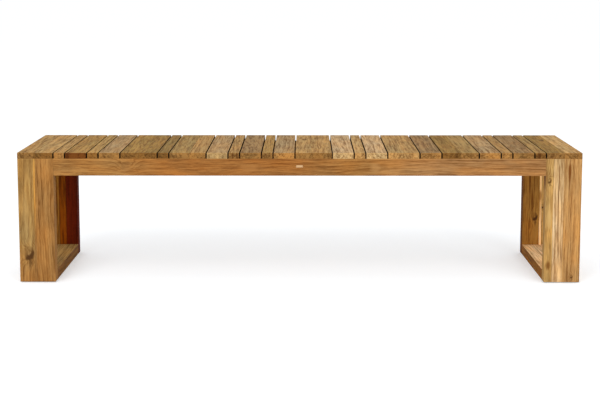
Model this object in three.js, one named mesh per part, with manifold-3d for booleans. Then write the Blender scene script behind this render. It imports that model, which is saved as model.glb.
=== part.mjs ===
// A backless slatted garden bench in solid teak, in millimetres, +Z up.
// X runs along the bench, Y from front (-) to back (+), and the origin is on the floor, under the middle of
// the seat.
//
// Two end frames carry the seat. Each is a loop of wide boards: a front post, a back post, a runner along
// the floor and a top rail. Two aprons join the end frames, with stub tenons in the posts' edges. Three
// bearers between the aprons carry two ledgers and a centre rail, and the slats lie across all of them,
// screwed up from below. Teak pegs lock the end frames' joints, and four nylon glides keep the wood off the
// floor.

import * as THREE from "three";
import { mergeVertices } from "three/addons/utils/BufferGeometryUtils.js";
import Module from "manifold-3d";

const wasm = await Module();
wasm.setup();

// ---- Driving dimensions ----

const LENGTH = 2000;
const DEPTH = 450;
const HEIGHT = 470;

const FLOOR_GAP = 3; // the wood stands this far off the floor, on its glides
const JOINT_GAP = 0.3; // clearance round every tenon, peg and pin, and at every shoulder
const ARRIS = 1.5; // chamfer that eases every edge

const SLAT = { thickness: 21, gap: 5, end: 125, narrow: 36, medium: 72.5, wide: 127 };
// From left to right. The one "fill" slat is cut to whatever width is left.
const SLAT_ORDER = [
  "end", "narrow", "medium", "narrow", "medium", "wide", "narrow", "wide", "medium",
  "narrow", "medium", "narrow", "medium", "wide", "medium", "narrow", "medium", "fill",
  "medium", "wide", "medium", "narrow", "medium", "narrow", "end",
];

const POST = { width: 127, thickness: 36 };
const RAIL = { thickness: 38 }; // runners and top rails, as wide as the posts
const APRON = { height: 61, thickness: 30 };
const LEDGER = { width: 20, height: 28 };
const CENTRE_RAIL = { width: 60, height: 28 };
const BEARER = { width: 40, height: 30, spacing: 580 };

const APRON_TENON = { length: 38, thickness: 12, height: 48 };
const RAIL_TENON = { length: 22, width: 64, thickness: 14, fromOutside: 48 };
const BEARER_TENON = { length: 12, width: 28, thickness: 14 };
const CENTRE_TENON = { length: 20, width: 36, thickness: 12 };

// A rail peg is `besideRail` from the middle of its tenon, and an apron peg is `inPost` from the post's inner
// edge and `aboveApron` from the apron's bottom.
const PEG = { radius: 4, length: 28, sides: 16, besideRail: 10, inPost: 18, aboveApron: 13 };
const GLIDE = { radius: 15, rim: 1, shankRadius: 1.5, shankLength: 16, fromEnd: 75, sides: 24 };
const GLIDE_HOLE_SIDES = 12;
const PLATE = { width: 24, height: 8, thickness: 1, pinSpacing: 18, belowSeat: 48 };
const PIN = { radius: 0.8, length: 7, sides: 12 };
const SAME_POINT = 1e-4; // points closer than this are one

// ---- Levels and planes worked out from them ----

const slatBottom = HEIGHT - SLAT.thickness;
const apronBottom = slatBottom - APRON.height;
const postX = LENGTH / 2 - POST.width / 2; // middle of an end frame
const postY = DEPTH / 2 - POST.thickness / 2;
const innerX = LENGTH / 2 - POST.width; // inner edge of an end frame
const innerY = DEPTH / 2 - POST.thickness; // inner face of a post
const apronY = DEPTH / 2 - APRON.thickness / 2;
const apronInnerY = DEPTH / 2 - APRON.thickness;
const bearerTop = slatBottom - LEDGER.height;
const runnerZ = FLOOR_GAP + RAIL.thickness / 2;
const topRailZ = slatBottom - RAIL.thickness / 2;

// ---- Finishes ----

function finish(color, roughness, metalness = 0) {
  return new THREE.MeshStandardMaterial({ color, roughness, metalness });
}

const FINISH = {
  seatTeak: finish(0x9c7c4e, 0.75),
  frameTeak: finish(0xa8743e, 0.7),
  hiddenTeak: finish(0x94683a, 0.8),
  nylon: finish(0x1c1b1a, 0.5),
  brass: finish(0xc9a063, 0.35, 0.9),
};

// ---- Shapes ----

/** A rectangle of w by h about the origin, with its corners cut off by `cut`. */
function easedRectangle(w, h, cut) {
  const x = w / 2;
  const y = h / 2;
  const corners = [
    [cut - x, -y], [x - cut, -y], [x, cut - y], [x, y - cut],
    [x - cut, y], [cut - x, y], [-x, y - cut], [-x, cut - y],
  ];
  return new THREE.Shape(corners.map(([a, b]) => new THREE.Vector2(a, b)));
}

/** A box of sx by sy by sz about the origin, with all its edges eased. */
function easedBox(sx, sy, sz, cut = ARRIS) {
  const geometry = new THREE.ExtrudeGeometry(easedRectangle(sx, sy, cut), {
    depth: sz - 2 * cut,
    bevelSegments: 1,
    bevelThickness: cut,
    bevelSize: cut,
    bevelOffset: -cut,
  });
  return geometry.translate(0, 0, cut - sz / 2);
}

/** A geometry as a closed solid that can be cut and joined. */
function solid(geometry) {
  const bare = geometry.clone();
  bare.deleteAttribute("normal");
  bare.deleteAttribute("uv");
  const merged = mergeVertices(bare, SAME_POINT);
  return new wasm.Manifold(
    new wasm.Mesh({
      numProp: 3,
      vertProperties: merged.attributes.position.array,
      triVerts: new Uint32Array(merged.index.array),
    }),
  );
}

/** A solid back as a geometry. */
function geometryOf(made) {
  const { vertProperties, triVerts } = made.getMesh();
  return new THREE.BufferGeometry()
    .setAttribute("position", new THREE.BufferAttribute(vertProperties, 3))
    .setIndex(new THREE.BufferAttribute(triVerts, 1));
}

/** A sharp box of the given size and centre, as a solid. */
const block = ([sx, sy, sz], [x, y, z]) => solid(new THREE.BoxGeometry(sx, sy, sz).translate(x, y, z));

/** The same block grown by the joint clearance on every side: the mortise for it. */
const pocket = (size, at) => block(size.map((s) => s + 2 * JOINT_GAP), at);

/** A round bar along an axis ("x", "y" or "z") through a centre, as a solid. */
function bar(radius, length, sides, axis, at) {
  const geometry = new THREE.CylinderGeometry(radius, radius, length, sides);
  if (axis === "x") geometry.rotateZ(Math.PI / 2);
  if (axis === "z") geometry.rotateX(Math.PI / 2);
  return solid(geometry.translate(...at));
}

/** A board of the given size and centre, with tenons joined on and mortises and holes cut out. */
function board(size, at, joins = [], cuts = []) {
  let made = solid(easedBox(...size).translate(...at));
  for (const part of joins) made = made.add(part);
  for (const part of cuts) made = made.subtract(part);
  return geometryOf(made);
}

const bench = new THREE.Group();

/** Adds a named piece to the bench. */
function piece(name, geometry, material) {
  const mesh = new THREE.Mesh(geometry, material);
  mesh.name = name;
  bench.add(mesh);
}

const ENDS = [["left", -1], ["right", 1]];
const FACES = [["front", -1], ["back", 1]];

// ---- Where the joints are ----

const apronTenon = (sx, sy) => ({
  size: [APRON_TENON.length, APRON_TENON.thickness, APRON_TENON.height],
  at: [sx * (innerX + APRON_TENON.length / 2 - JOINT_GAP), sy * apronY, apronBottom + APRON.height / 2],
});

const railTenon = (sx, sy, z) => ({
  size: [RAIL_TENON.width, RAIL_TENON.length, RAIL_TENON.thickness],
  at: [sx * (LENGTH / 2 - RAIL_TENON.fromOutside), sy * (innerY + RAIL_TENON.length / 2 - JOINT_GAP), z],
});

const bearerTenon = (x, sy) => ({
  size: [BEARER_TENON.width, BEARER_TENON.length, BEARER_TENON.thickness],
  at: [x, sy * (apronInnerY + BEARER_TENON.length / 2 - JOINT_GAP), bearerTop - BEARER.height / 2],
});

const centreTenon = (sx) => ({
  size: [CENTRE_TENON.length, CENTRE_TENON.width, CENTRE_TENON.thickness],
  at: [sx * (innerX + CENTRE_TENON.length / 2 - JOINT_GAP), 0, bearerTop + CENTRE_RAIL.height / 2],
});

const tenonOf = ({ size, at }) => block(size, at);
const mortiseOf = ({ size, at }) => pocket(size, at);

// Apron pegs go in from the post's hidden inner face, and rail pegs from the post's ends.
const pegs = ENDS.flatMap(([end, sx]) =>
  FACES.flatMap(([face, sy]) => {
    const railPegX = sx * (LENGTH / 2 - RAIL_TENON.fromOutside + PEG.besideRail);
    const railPegY = sy * (innerY + RAIL_TENON.length / 2);
    return [
      {
        name: `${face}_${end}_apron_peg`,
        axis: "y",
        at: [sx * (innerX + PEG.inPost), sy * (innerY + PEG.length / 2), apronBottom + PEG.aboveApron],
      },
      {
        name: `${face}_${end}_runner_peg`,
        axis: "z",
        at: [railPegX, railPegY, FLOOR_GAP + PEG.length / 2],
      },
      {
        name: `${face}_${end}_top_rail_peg`,
        axis: "z",
        at: [railPegX, railPegY, slatBottom - JOINT_GAP - PEG.length / 2],
      },
    ];
  }),
);

const pegHoles = pegs.map(({ axis, at }) =>
  bar(PEG.radius + JOINT_GAP, PEG.length + 2 * JOINT_GAP, PEG.sides, axis, at),
);

const pinX = [-PLATE.pinSpacing / 2, PLATE.pinSpacing / 2];
const plateZ = HEIGHT - PLATE.belowSeat;
const plateY = (PLATE.thickness - DEPTH) / 2;
const pinY = (PIN.length - DEPTH) / 2;

const glides = ENDS.flatMap(([end, sx]) =>
  FACES.map(([face, sy]) => ({
    name: `${face}_${end}_glide`,
    x: sx * postX,
    y: sy * (DEPTH / 2 - GLIDE.fromEnd),
  })),
);

// ---- Seat slats ----

function addSlats() {
  const gaps = (SLAT_ORDER.length - 1) * SLAT.gap;
  const stated = SLAT_ORDER.reduce((sum, kind) => sum + (SLAT[kind] ?? 0), 0);
  const fill = LENGTH - gaps - stated;
  let left = -LENGTH / 2;
  SLAT_ORDER.forEach((kind, i) => {
    const width = SLAT[kind] ?? fill;
    const at = [left + width / 2, 0, HEIGHT - SLAT.thickness / 2];
    const name = `slat_${String(i + 1).padStart(2, "0")}`;
    piece(name, easedBox(width, DEPTH, SLAT.thickness).translate(...at), FINISH.seatTeak);
    left += width + SLAT.gap;
  });
}

// ---- End frames ----

function addEndFrame(end, sx) {
  const postHeight = slatBottom - FLOOR_GAP;
  for (const [face, sy] of FACES) {
    const tenons = [apronTenon(sx, sy), railTenon(sx, sy, runnerZ), railTenon(sx, sy, topRailZ)];
    const cuts = [...tenons.map(mortiseOf), ...pegHoles];
    const at = [sx * postX, sy * postY, FLOOR_GAP + postHeight / 2];
    const size = [POST.width, POST.thickness, postHeight];
    piece(`${face}_${end}_post`, board(size, at, [], cuts), FINISH.frameTeak);
  }
  const railLength = 2 * (innerY - JOINT_GAP);
  const railSize = [POST.width, railLength, RAIL.thickness];
  const tenons = (z) => FACES.map(([, sy]) => tenonOf(railTenon(sx, sy, z)));

  const holeDepth = GLIDE.shankLength + JOINT_GAP;
  const shankHoles = glides.map(({ x, y }) =>
    bar(GLIDE.shankRadius + JOINT_GAP, holeDepth, GLIDE_HOLE_SIDES, "z", [x, y, holeDepth / 2]),
  );
  piece(
    `${end}_runner`,
    board(railSize, [sx * postX, 0, runnerZ], tenons(runnerZ), [...pegHoles, ...shankHoles]),
    FINISH.frameTeak,
  );
  piece(
    `${end}_top_rail`,
    board(railSize, [sx * postX, 0, topRailZ], tenons(topRailZ), [...pegHoles, mortiseOf(centreTenon(sx))]),
    FINISH.hiddenTeak,
  );
}

// ---- Seat frame between the end frames ----

const bearerX = [["left", -BEARER.spacing], ["middle", 0], ["right", BEARER.spacing]];

function addSeatFrame() {
  const span = 2 * (innerX - JOINT_GAP);
  for (const [face, sy] of FACES) {
    const tenons = ENDS.map(([, sx]) => tenonOf(apronTenon(sx, sy)));
    const mortises = bearerX.map(([, x]) => mortiseOf(bearerTenon(x, sy)));
    const plateSeat = pocket([PLATE.width, PLATE.thickness, PLATE.height], [0, plateY, plateZ]);
    const pinHoles = pinX.map((x) =>
      bar(PIN.radius + JOINT_GAP, PIN.length + 2 * JOINT_GAP, PIN.sides, "y", [x, pinY, plateZ]),
    );
    const size = [span, APRON.thickness, APRON.height];
    const at = [0, sy * apronY, apronBottom + APRON.height / 2];
    const cuts = [...mortises, ...pegHoles, plateSeat, ...pinHoles];
    piece(`${face}_apron`, board(size, at, tenons, cuts), FINISH.frameTeak);
    piece(
      `${face}_ledger`,
      easedBox(span, LEDGER.width - JOINT_GAP, LEDGER.height).translate(
        0,
        sy * (apronInnerY - (LEDGER.width + JOINT_GAP) / 2),
        slatBottom - LEDGER.height / 2,
      ),
      FINISH.hiddenTeak,
    );
  }
  piece(
    "centre_rail",
    board(
      [span, CENTRE_RAIL.width, CENTRE_RAIL.height],
      [0, 0, bearerTop + CENTRE_RAIL.height / 2],
      ENDS.map(([, sx]) => tenonOf(centreTenon(sx))),
    ),
    FINISH.hiddenTeak,
  );
  for (const [place, x] of bearerX) {
    piece(
      `${place}_bearer`,
      board(
        [BEARER.width, 2 * (apronInnerY - JOINT_GAP), BEARER.height],
        [x, 0, bearerTop - BEARER.height / 2],
        FACES.map(([, sy]) => tenonOf(bearerTenon(x, sy))),
      ),
      FINISH.hiddenTeak,
    );
  }
}

// ---- Pegs, glides and the plate ----

function addPegs() {
  for (const { name, axis, at } of pegs) {
    piece(name, geometryOf(bar(PEG.radius, PEG.length, PEG.sides, axis, at)), FINISH.hiddenTeak);
  }
}

function addGlides() {
  const { radius, rim, shankRadius, shankLength } = GLIDE;
  const profile = [
    [0, 0], [radius - rim, 0], [radius, rim], [radius, FLOOR_GAP - JOINT_GAP],
    [shankRadius, FLOOR_GAP - JOINT_GAP], [shankRadius, shankLength - 2 * shankRadius], [0, shankLength],
  ].map(([r, z]) => new THREE.Vector2(r, z));
  for (const { name, x, y } of glides) {
    const geometry = new THREE.LatheGeometry(profile, GLIDE.sides).rotateX(Math.PI / 2).translate(x, y, 0);
    piece(name, geometry, FINISH.nylon);
  }
}

function addPlate() {
  const pins = pinX.map((x) => bar(PIN.radius, PIN.length, PIN.sides, "y", [x, pinY, plateZ]));
  const holes = pinX.map((x) => bar(PIN.radius + JOINT_GAP, PIN.length, PIN.sides, "y", [x, pinY, plateZ]));
  const blank = block([PLATE.width, PLATE.thickness, PLATE.height], [0, plateY, plateZ]);
  piece("front_plate", geometryOf(holes.reduce((made, hole) => made.subtract(hole), blank)), FINISH.brass);
  ENDS.forEach(([end], i) => piece(`${end}_plate_pin`, geometryOf(pins[i]), FINISH.brass));
}

addSlats();
for (const [end, sx] of ENDS) addEndFrame(end, sx);
addSeatFrame();
addPegs();
addGlides();
addPlate();

export default bench;
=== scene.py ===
"""A backless slatted bench in reclaimed teak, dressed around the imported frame.

Every board is a closed, softly eased timber with its own growth rings, staves and knots. The record's slots name the
finishes: seat_teak, frame_teak, hidden_teak, nylon, brass and stainless_screw.
"""

import logging
import math
import random
from collections.abc import Callable, Mapping
from dataclasses import dataclass, field
from enum import Enum

import bmesh
import bpy
import numpy as np
from mathutils import Matrix, Vector


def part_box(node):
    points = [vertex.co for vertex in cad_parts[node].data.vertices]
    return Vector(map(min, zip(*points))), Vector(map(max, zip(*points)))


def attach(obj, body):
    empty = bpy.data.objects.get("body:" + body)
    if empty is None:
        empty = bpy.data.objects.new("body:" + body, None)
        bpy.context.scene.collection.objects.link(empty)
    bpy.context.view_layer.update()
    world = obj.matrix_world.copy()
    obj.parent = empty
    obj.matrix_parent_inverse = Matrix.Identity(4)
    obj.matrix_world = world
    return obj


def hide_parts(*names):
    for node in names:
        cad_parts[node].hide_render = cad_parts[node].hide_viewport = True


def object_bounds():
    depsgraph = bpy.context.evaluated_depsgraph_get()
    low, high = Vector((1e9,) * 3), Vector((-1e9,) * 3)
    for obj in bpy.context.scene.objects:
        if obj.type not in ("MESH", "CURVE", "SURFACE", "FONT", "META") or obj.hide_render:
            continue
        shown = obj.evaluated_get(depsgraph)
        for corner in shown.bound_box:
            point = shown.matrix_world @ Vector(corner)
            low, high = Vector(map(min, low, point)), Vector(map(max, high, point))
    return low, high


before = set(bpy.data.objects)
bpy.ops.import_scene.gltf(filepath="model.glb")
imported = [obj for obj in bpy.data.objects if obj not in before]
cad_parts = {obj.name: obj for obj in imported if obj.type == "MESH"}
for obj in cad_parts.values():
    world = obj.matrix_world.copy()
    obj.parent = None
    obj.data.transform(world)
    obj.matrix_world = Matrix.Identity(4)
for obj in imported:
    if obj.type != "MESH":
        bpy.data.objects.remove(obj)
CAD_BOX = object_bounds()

BODY = "root"
LOG = logging.getLogger("bench")

Link = bpy.types.NodeSocket | float | tuple


# ---- Words for how a board is cut, coloured and laid -------------------------------------------------------------


class Axis(Enum):
    """An axis of the bench, by its index in a vector."""

    X = 0
    Y = 1
    Z = 2

    @property
    def direction(self) -> Vector:
        """The axis as a unit vector."""
        return Vector([float(i == self.value) for i in range(3)])


class Cut(Enum):
    """How a stave was sawn from the log: the pith's place across and below the stave's face, in metres."""

    FLAT = (0.006, 0.042)
    RIFT = (0.055, 0.050)
    QUARTER = (0.100, 0.004)


class Tone(Enum):
    """A colour of teak, from 0 to 255. Most are as the wood looks in even daylight; umber, rust and maroon stand only
    for painted shade, and walnut and bark also serve as painted shade on inner edges.
    """

    HONEY = (171, 134, 86)
    WHEAT = (183, 147, 100)
    STRAW = (177, 142, 95)
    OLIVE = (150, 117, 64)
    KHAKI = (158, 127, 80)
    MOSS = (142, 112, 65)
    ROSE = (171, 140, 104)
    BLUSH = (190, 158, 124)
    ASH = (151, 120, 84)
    CHESTNUT = (150, 106, 56)
    BARK = (131, 89, 41)
    WALNUT = (112, 62, 20)
    MAROON = (96, 27, 0)
    AMBER = (168, 118, 63)
    TAN = (170, 122, 74)
    COPPER = (158, 104, 52)
    GOLD = (196, 143, 72)
    OCHRE = (168, 131, 77)
    CREAM = (208, 167, 116)
    IVORY = (214, 176, 129)
    CARAMEL = (188, 139, 83)
    SAND = (186, 144, 84)
    TOFFEE = (172, 117, 50)
    UMBER = (146, 94, 32)
    RUST = (134, 66, 0)

    @property
    def albedo(self) -> tuple[float, float, float]:
        """The colour in linear light."""
        shares = [channel / 255 for channel in self.value]
        return tuple(((share + 0.055) / 1.055) ** 2.4 for share in shares)


@dataclass(frozen=True)
class Stave:
    """One strip of a board that is glued up edge to edge.

    Args:
        share: its share of the board's width.
        tone: the colour of its long faces at the low end of the grain.
        end: the colour of its end grain.
        between: the colours at even steps between the low end and the high one, if it changes along the grain.
        far: the colour of its long faces at the high end, if it changes.
        cut: how it was sawn.
        stripes: how strongly its grain is striped, from 0 to 1.
        shade: how light it is beside its tone.
    """

    share: float
    tone: Tone
    end: Tone = Tone.CHESTNUT
    between: tuple[Tone, ...] = ()
    far: Tone | None = None
    cut: Cut = Cut.RIFT
    stripes: float = 0.45
    shade: float = 1.0

    def tones(self, share: np.ndarray) -> np.ndarray:
        """The colours of its long faces.

        Args:
            share: how far along the grain each place is, from 0 to 1.

        Returns:
            One linear colour for each place.
        """
        steps = np.array([tone.albedo for tone in (self.tone, *self.between, self.far or self.tone)]) * self.shade
        at = np.linspace(0.0, 1.0, len(steps))
        return np.stack([np.interp(share, at, steps[:, channel]) for channel in range(3)], axis=1)


@dataclass(frozen=True)
class Knot:
    """A knot that runs through a board.

    Args:
        along: its place from the low end of the grain, in metres.
        across: its place from the low edge of the board, in metres.
        size: its radius across the grain, in metres.
        bark: how dark its rim is, from 0 to 1.
    """

    along: float
    across: float
    size: float = 0.009
    bark: float = 0.9


@dataclass(frozen=True)
class Patch:
    """A streak or cloud in the wood that is darker or paler than the rest of its board.

    Args:
        along: its middle from the low end of the grain, in metres.
        across: its middle from the low edge of the board, in metres.
        length: how far it reaches each way along the grain, in metres.
        width: how far it reaches each way across the grain, in metres.
        depth: how dark it is, from 0 to 1, or below 0 where it is paler.
    """

    along: float
    across: float
    length: float
    width: float
    depth: float


PATCHES = ("patch_a", "patch_b", "patch_c", "patch_d")


# ---- Node trees ---------------------------------------------------------------------------------------------------


class Graph:
    """Adds nodes to one node tree and links them."""

    def __init__(self, tree: bpy.types.NodeTree) -> None:
        """Keeps the tree to add to."""
        self.tree = tree

    def add(self, kind: str, inputs: Mapping[str | int, Link] | None = None, **settings: object) -> bpy.types.Node:
        """Adds a node.

        Args:
            kind: the node's type, without "ShaderNode".
            inputs: constants or sockets for its inputs, by name or index.
            settings: values for the node's own properties.

        Returns:
            The new node.
        """
        node = self.tree.nodes.new("ShaderNode" + kind)
        for name, value in settings.items():
            setattr(node, name, value)
        for key, value in (inputs or {}).items():
            self.put(node.inputs[key], value)
        return node

    def put(self, socket: bpy.types.NodeSocket, value: Link) -> None:
        """Links a socket to an input, or sets the input to a constant."""
        if isinstance(value, bpy.types.NodeSocket):
            self.tree.links.new(value, socket)
        else:
            socket.default_value = value

    def math(self, operation: str, a: Link, b: Link = 0.0, clamp: bool = False) -> bpy.types.NodeSocket:
        """The result of one arithmetic step."""
        return self.add("Math", {0: a, 1: b}, operation=operation, use_clamp=clamp).outputs[0]

    def vector(self, operation: str, a: Link, b: Link = (0.0, 0.0, 0.0)) -> bpy.types.NodeSocket:
        """The vector result of one vector step."""
        return self.add("VectorMath", {0: a, 1: b}, operation=operation).outputs[0]

    def length(self, a: Link) -> bpy.types.NodeSocket:
        """The length of a vector."""
        return self.add("VectorMath", {0: a}, operation="LENGTH").outputs["Value"]

    def noise(self, place: Link, scale: tuple[float, float, float], detail: float = 2.0, roughness: float = 0.5,
              colour: bool = False) -> bpy.types.NodeSocket:
        """Noise that is stretched along each axis of a place.

        Args:
            place: the point to look the noise up at, in metres.
            scale: how many times a metre it changes along each axis.
            detail: how many finer layers it has.
            roughness: how strong the finer layers are.
            colour: whether to give three values and not one.

        Returns:
            The value, or three values as a colour.
        """
        where = self.vector("MULTIPLY", place, scale)
        made = self.add("TexNoise", {"Vector": where, "Scale": 1.0, "Detail": detail, "Roughness": roughness})
        return made.outputs[1 if colour else 0]

    def ramp(self, value: Link, low: float, high: float, to_low: Link = 0.0, to_high: Link = 1.0) -> bpy.types.NodeSocket:
        """A smooth step from to_low, where value is low, up to to_high, where it is high."""
        inputs = {"Value": value, "From Min": low, "From Max": high, "To Min": to_low, "To Max": to_high}
        return self.add("MapRange", inputs, interpolation_type="SMOOTHSTEP").outputs[0]

    def mix(self, share: Link, a: Link, b: Link, blend: str = "MIX") -> bpy.types.NodeSocket:
        """Two colours, mixed."""
        made = self.add("Mix", {0: share, 6: a, 7: b}, data_type="RGBA", blend_type=blend)
        return made.outputs[2]

    def tint(self, a: Link, tint: tuple[float, float, float]) -> bpy.types.NodeSocket:
        """A colour, or a grey value, with its red, green and blue each scaled."""
        return self.mix(1.0, a, (*tint, 1.0), "MULTIPLY")

    def attribute(self, name: str, output: str = "Vector") -> bpy.types.NodeSocket:
        """One of the piece's own attributes."""
        return self.add("Attribute", attribute_name=name).outputs[output]

    def group(self, tree: bpy.types.NodeTree, inputs: Mapping[str, Link]) -> bpy.types.Node:
        """Places a node group with its inputs."""
        node = self.tree.nodes.new("ShaderNodeGroup")
        node.node_tree = tree
        for key, value in inputs.items():
            self.put(node.inputs[key], value)
        return node


SOCKETS = {"value": "NodeSocketFloat", "vector": "NodeSocketVector", "colour": "NodeSocketColor"}


class Effect:
    """A shader node group that several finishes share. It is built the first time it is asked for."""

    name = ""
    takes: dict[str, str] = {}
    gives: dict[str, str] = {}

    @classmethod
    def tree(cls) -> bpy.types.NodeTree:
        """The effect's node group."""
        if cls.name in bpy.data.node_groups:
            return bpy.data.node_groups[cls.name]
        tree = bpy.data.node_groups.new(cls.name, "ShaderNodeTree")
        for label, kind in cls.takes.items():
            tree.interface.new_socket(label, in_out="INPUT", socket_type=SOCKETS[kind])
        for label, kind in cls.gives.items():
            tree.interface.new_socket(label, in_out="OUTPUT", socket_type=SOCKETS[kind])
        given = tree.nodes.new("NodeGroupInput").outputs
        results = cls.build(Graph(tree), {label: given[label] for label in cls.takes})
        out = tree.nodes.new("NodeGroupOutput")
        for label, socket in results.items():
            tree.links.new(socket, out.inputs[label])
        return tree

    @staticmethod
    def build(graph: Graph, given: dict[str, bpy.types.NodeSocket]) -> dict[str, bpy.types.NodeSocket]:
        """Adds the effect's nodes.

        Args:
            graph: the group's graph.
            given: the group's inputs, by name.

        Returns:
            The socket behind each of the group's outputs, by name.
        """
        raise NotImplementedError


class GrowthRings(Effect):
    """Yearly rings about a wandering pith, drawn aside and closed up round the knots."""

    name = "growth_rings"
    takes = {"Place": "vector", "Knot A": "vector", "Knot B": "vector", "Ring Width": "value"}
    gives = {"Ring": "value", "Year": "value", "Knot": "value", "Heart": "value"}

    @staticmethod
    def build(graph: Graph, given: dict[str, bpy.types.NodeSocket]) -> dict[str, bpy.types.NodeSocket]:
        """Adds the effect's nodes."""
        place = given["Place"]
        wander = graph.noise(place, (5.0, 1.5, 5.0), 2.0, 0.45, colour=True)
        wander = graph.vector("MULTIPLY", graph.vector("SUBTRACT", wander, (0.5, 0.5, 0.5)), (0.075, 0.0, 0.075))
        ripple = graph.noise(place, (26.0, 9.0, 26.0), 3.0, 0.55)
        ripple = graph.math("MULTIPLY", graph.math("SUBTRACT", ripple, 0.5), 0.009)
        flat = graph.vector("MULTIPLY", graph.vector("ADD", place, wander), (1.0, 0.0, 1.0))
        radius = graph.math("ADD", graph.length(flat), ripple)
        rims, hearts = [], []
        for label in ("Knot A", "Knot B"):
            strength = graph.add("SeparateXYZ", {0: given[label]}).outputs[2]
            flat = graph.vector("MULTIPLY", given[label], (1.0, 1.0, 0.0))
            wobble = graph.noise(flat, (0.8, 0.8, 0.8), 4.0, 0.62, colour=True)
            wobble = graph.vector("MULTIPLY", graph.vector("SUBTRACT", wobble, (0.5, 0.5, 0.5)), (1.7, 1.7, 0.0))
            offset = graph.vector("ADD", flat, wobble)
            reach = graph.length(offset)
            near = graph.math("EXPONENT", graph.math("MULTIPLY", graph.math("MULTIPLY", reach, reach), -0.22))
            radius = graph.math("ADD", radius, graph.math("MULTIPLY", near, 0.030))
            # The dark bark is a crescent on one side of the knot, and trails off down the grain.
            lean = graph.add("VectorMath", {0: offset, 1: (0.55, -0.85, 0.0)}, operation="DOT_PRODUCT").outputs["Value"]
            bark = graph.ramp(lean, -0.9, 0.6, 0.30, 1.0)
            rim = graph.ramp(graph.math("ABSOLUTE", graph.math("SUBTRACT", reach, 0.85)), 0.30, 0.95, 1.0, 0.0)
            trail = graph.vector("MULTIPLY", graph.vector("ADD", offset, (-0.3, 1.9, 0.0)), (1.7, 0.5, 0.0))
            trail = graph.ramp(graph.length(trail), 0.2, 1.2, 0.7, 0.0)
            dark = graph.math("MAXIMUM", graph.math("MULTIPLY", rim, bark), trail)
            rims.append(graph.math("MULTIPLY", dark, strength))
            hearts.append(graph.math("MULTIPLY", graph.ramp(reach, 0.15, 0.75, 1.0, 0.0),
                                     graph.ramp(strength, 0.0, 0.3)))
        years = graph.math("DIVIDE", radius, given["Ring Width"])
        part = graph.math("FRACT", years)
        year = graph.add("TexWhiteNoise", {"W": graph.math("FLOOR", years)}, noise_dimensions="1D").outputs["Value"]
        rise = graph.ramp(part, 0.10, 0.86)
        fall = graph.ramp(part, 0.90, 1.0, 1.0, 0.0)
        ring = graph.math("MULTIPLY", graph.math("MULTIPLY", rise, fall), graph.ramp(year, 0.0, 1.0, 0.35, 1.0))
        return {
            "Ring": ring,
            "Year": year,
            "Knot": graph.math("MAXIMUM", *rims),
            "Heart": graph.math("MAXIMUM", *hearts),
        }


class Grain(Effect):
    """Stripes, blotches and open pores that run along the grain."""

    name = "grain"
    takes = {"Place": "vector"}
    gives = {"Stripe": "value", "Blotch": "value", "Mottle": "value", "Pore": "value", "Mineral": "value",
             "Fibre": "value"}

    @staticmethod
    def build(graph: Graph, given: dict[str, bpy.types.NodeSocket]) -> dict[str, bpy.types.NodeSocket]:
        """Adds the effect's nodes."""
        place = given["Place"]
        bend = graph.noise(place, (7.0, 2.6, 7.0), 1.0, 0.5, colour=True)
        bend = graph.vector("MULTIPLY", graph.vector("SUBTRACT", bend, (0.5, 0.5, 0.5)), (0.026, 0.0, 0.026))
        bent = graph.vector("ADD", place, bend)
        stripe = graph.noise(bent, (135.0, 3.0, 135.0), 4.0, 0.72)
        blotch = graph.noise(bent, (17.0, 5.0, 17.0), 3.0, 0.6)
        mottle = graph.noise(bent, (120.0, 12.0, 120.0), 3.0, 0.75)
        fibre = graph.noise(bent, (460.0, 13.0, 460.0), 2.0, 0.65)
        dashes = graph.noise(bent, (900.0, 42.0, 900.0), 1.0, 0.5)
        mineral = graph.noise(bent, (70.0, 1.1, 70.0), 4.0, 0.7)
        return {
            "Stripe": graph.ramp(stripe, 0.30, 0.70),
            "Blotch": graph.ramp(blotch, 0.28, 0.72),
            "Mottle": graph.ramp(mottle, 0.32, 0.68),
            "Pore": graph.ramp(dashes, 0.60, 0.72),
            "Mineral": graph.ramp(mineral, 0.60, 0.72),
            "Fibre": fibre,
        }


class Patches(Effect):
    """Streaks and clouds with ragged edges, each darker or paler than its board."""

    name = "patches"
    takes = {"Place": "vector", **{label: "vector" for label in PATCHES}}
    gives = {"Dark": "value", "Pale": "value"}

    @staticmethod
    def build(graph: Graph, given: dict[str, bpy.types.NodeSocket]) -> dict[str, bpy.types.NodeSocket]:
        """Adds the effect's nodes. A patch's vector holds its two offsets and its depth."""
        ragged = graph.noise(given["Place"], (90.0, 14.0, 90.0), 3.0, 0.6)
        ragged = graph.math("MULTIPLY", graph.math("SUBTRACT", ragged, 0.5), 1.4)
        total: Link = 0.0
        for label in PATCHES:
            split = graph.add("SeparateXYZ", {0: given[label]}).outputs
            offset = graph.add("CombineXYZ", {0: split[0], 1: split[1], 2: 0.0}).outputs[0]
            cover = graph.ramp(graph.math("ADD", graph.length(offset), ragged), 0.35, 1.15, 1.0, 0.0)
            total = graph.math("ADD", total, graph.math("MULTIPLY", cover, split[2]))
        return {
            "Dark": graph.math("MAXIMUM", total, 0.0),
            "Pale": graph.math("MAXIMUM", graph.math("MULTIPLY", total, -1.0), 0.0),
        }


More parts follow.
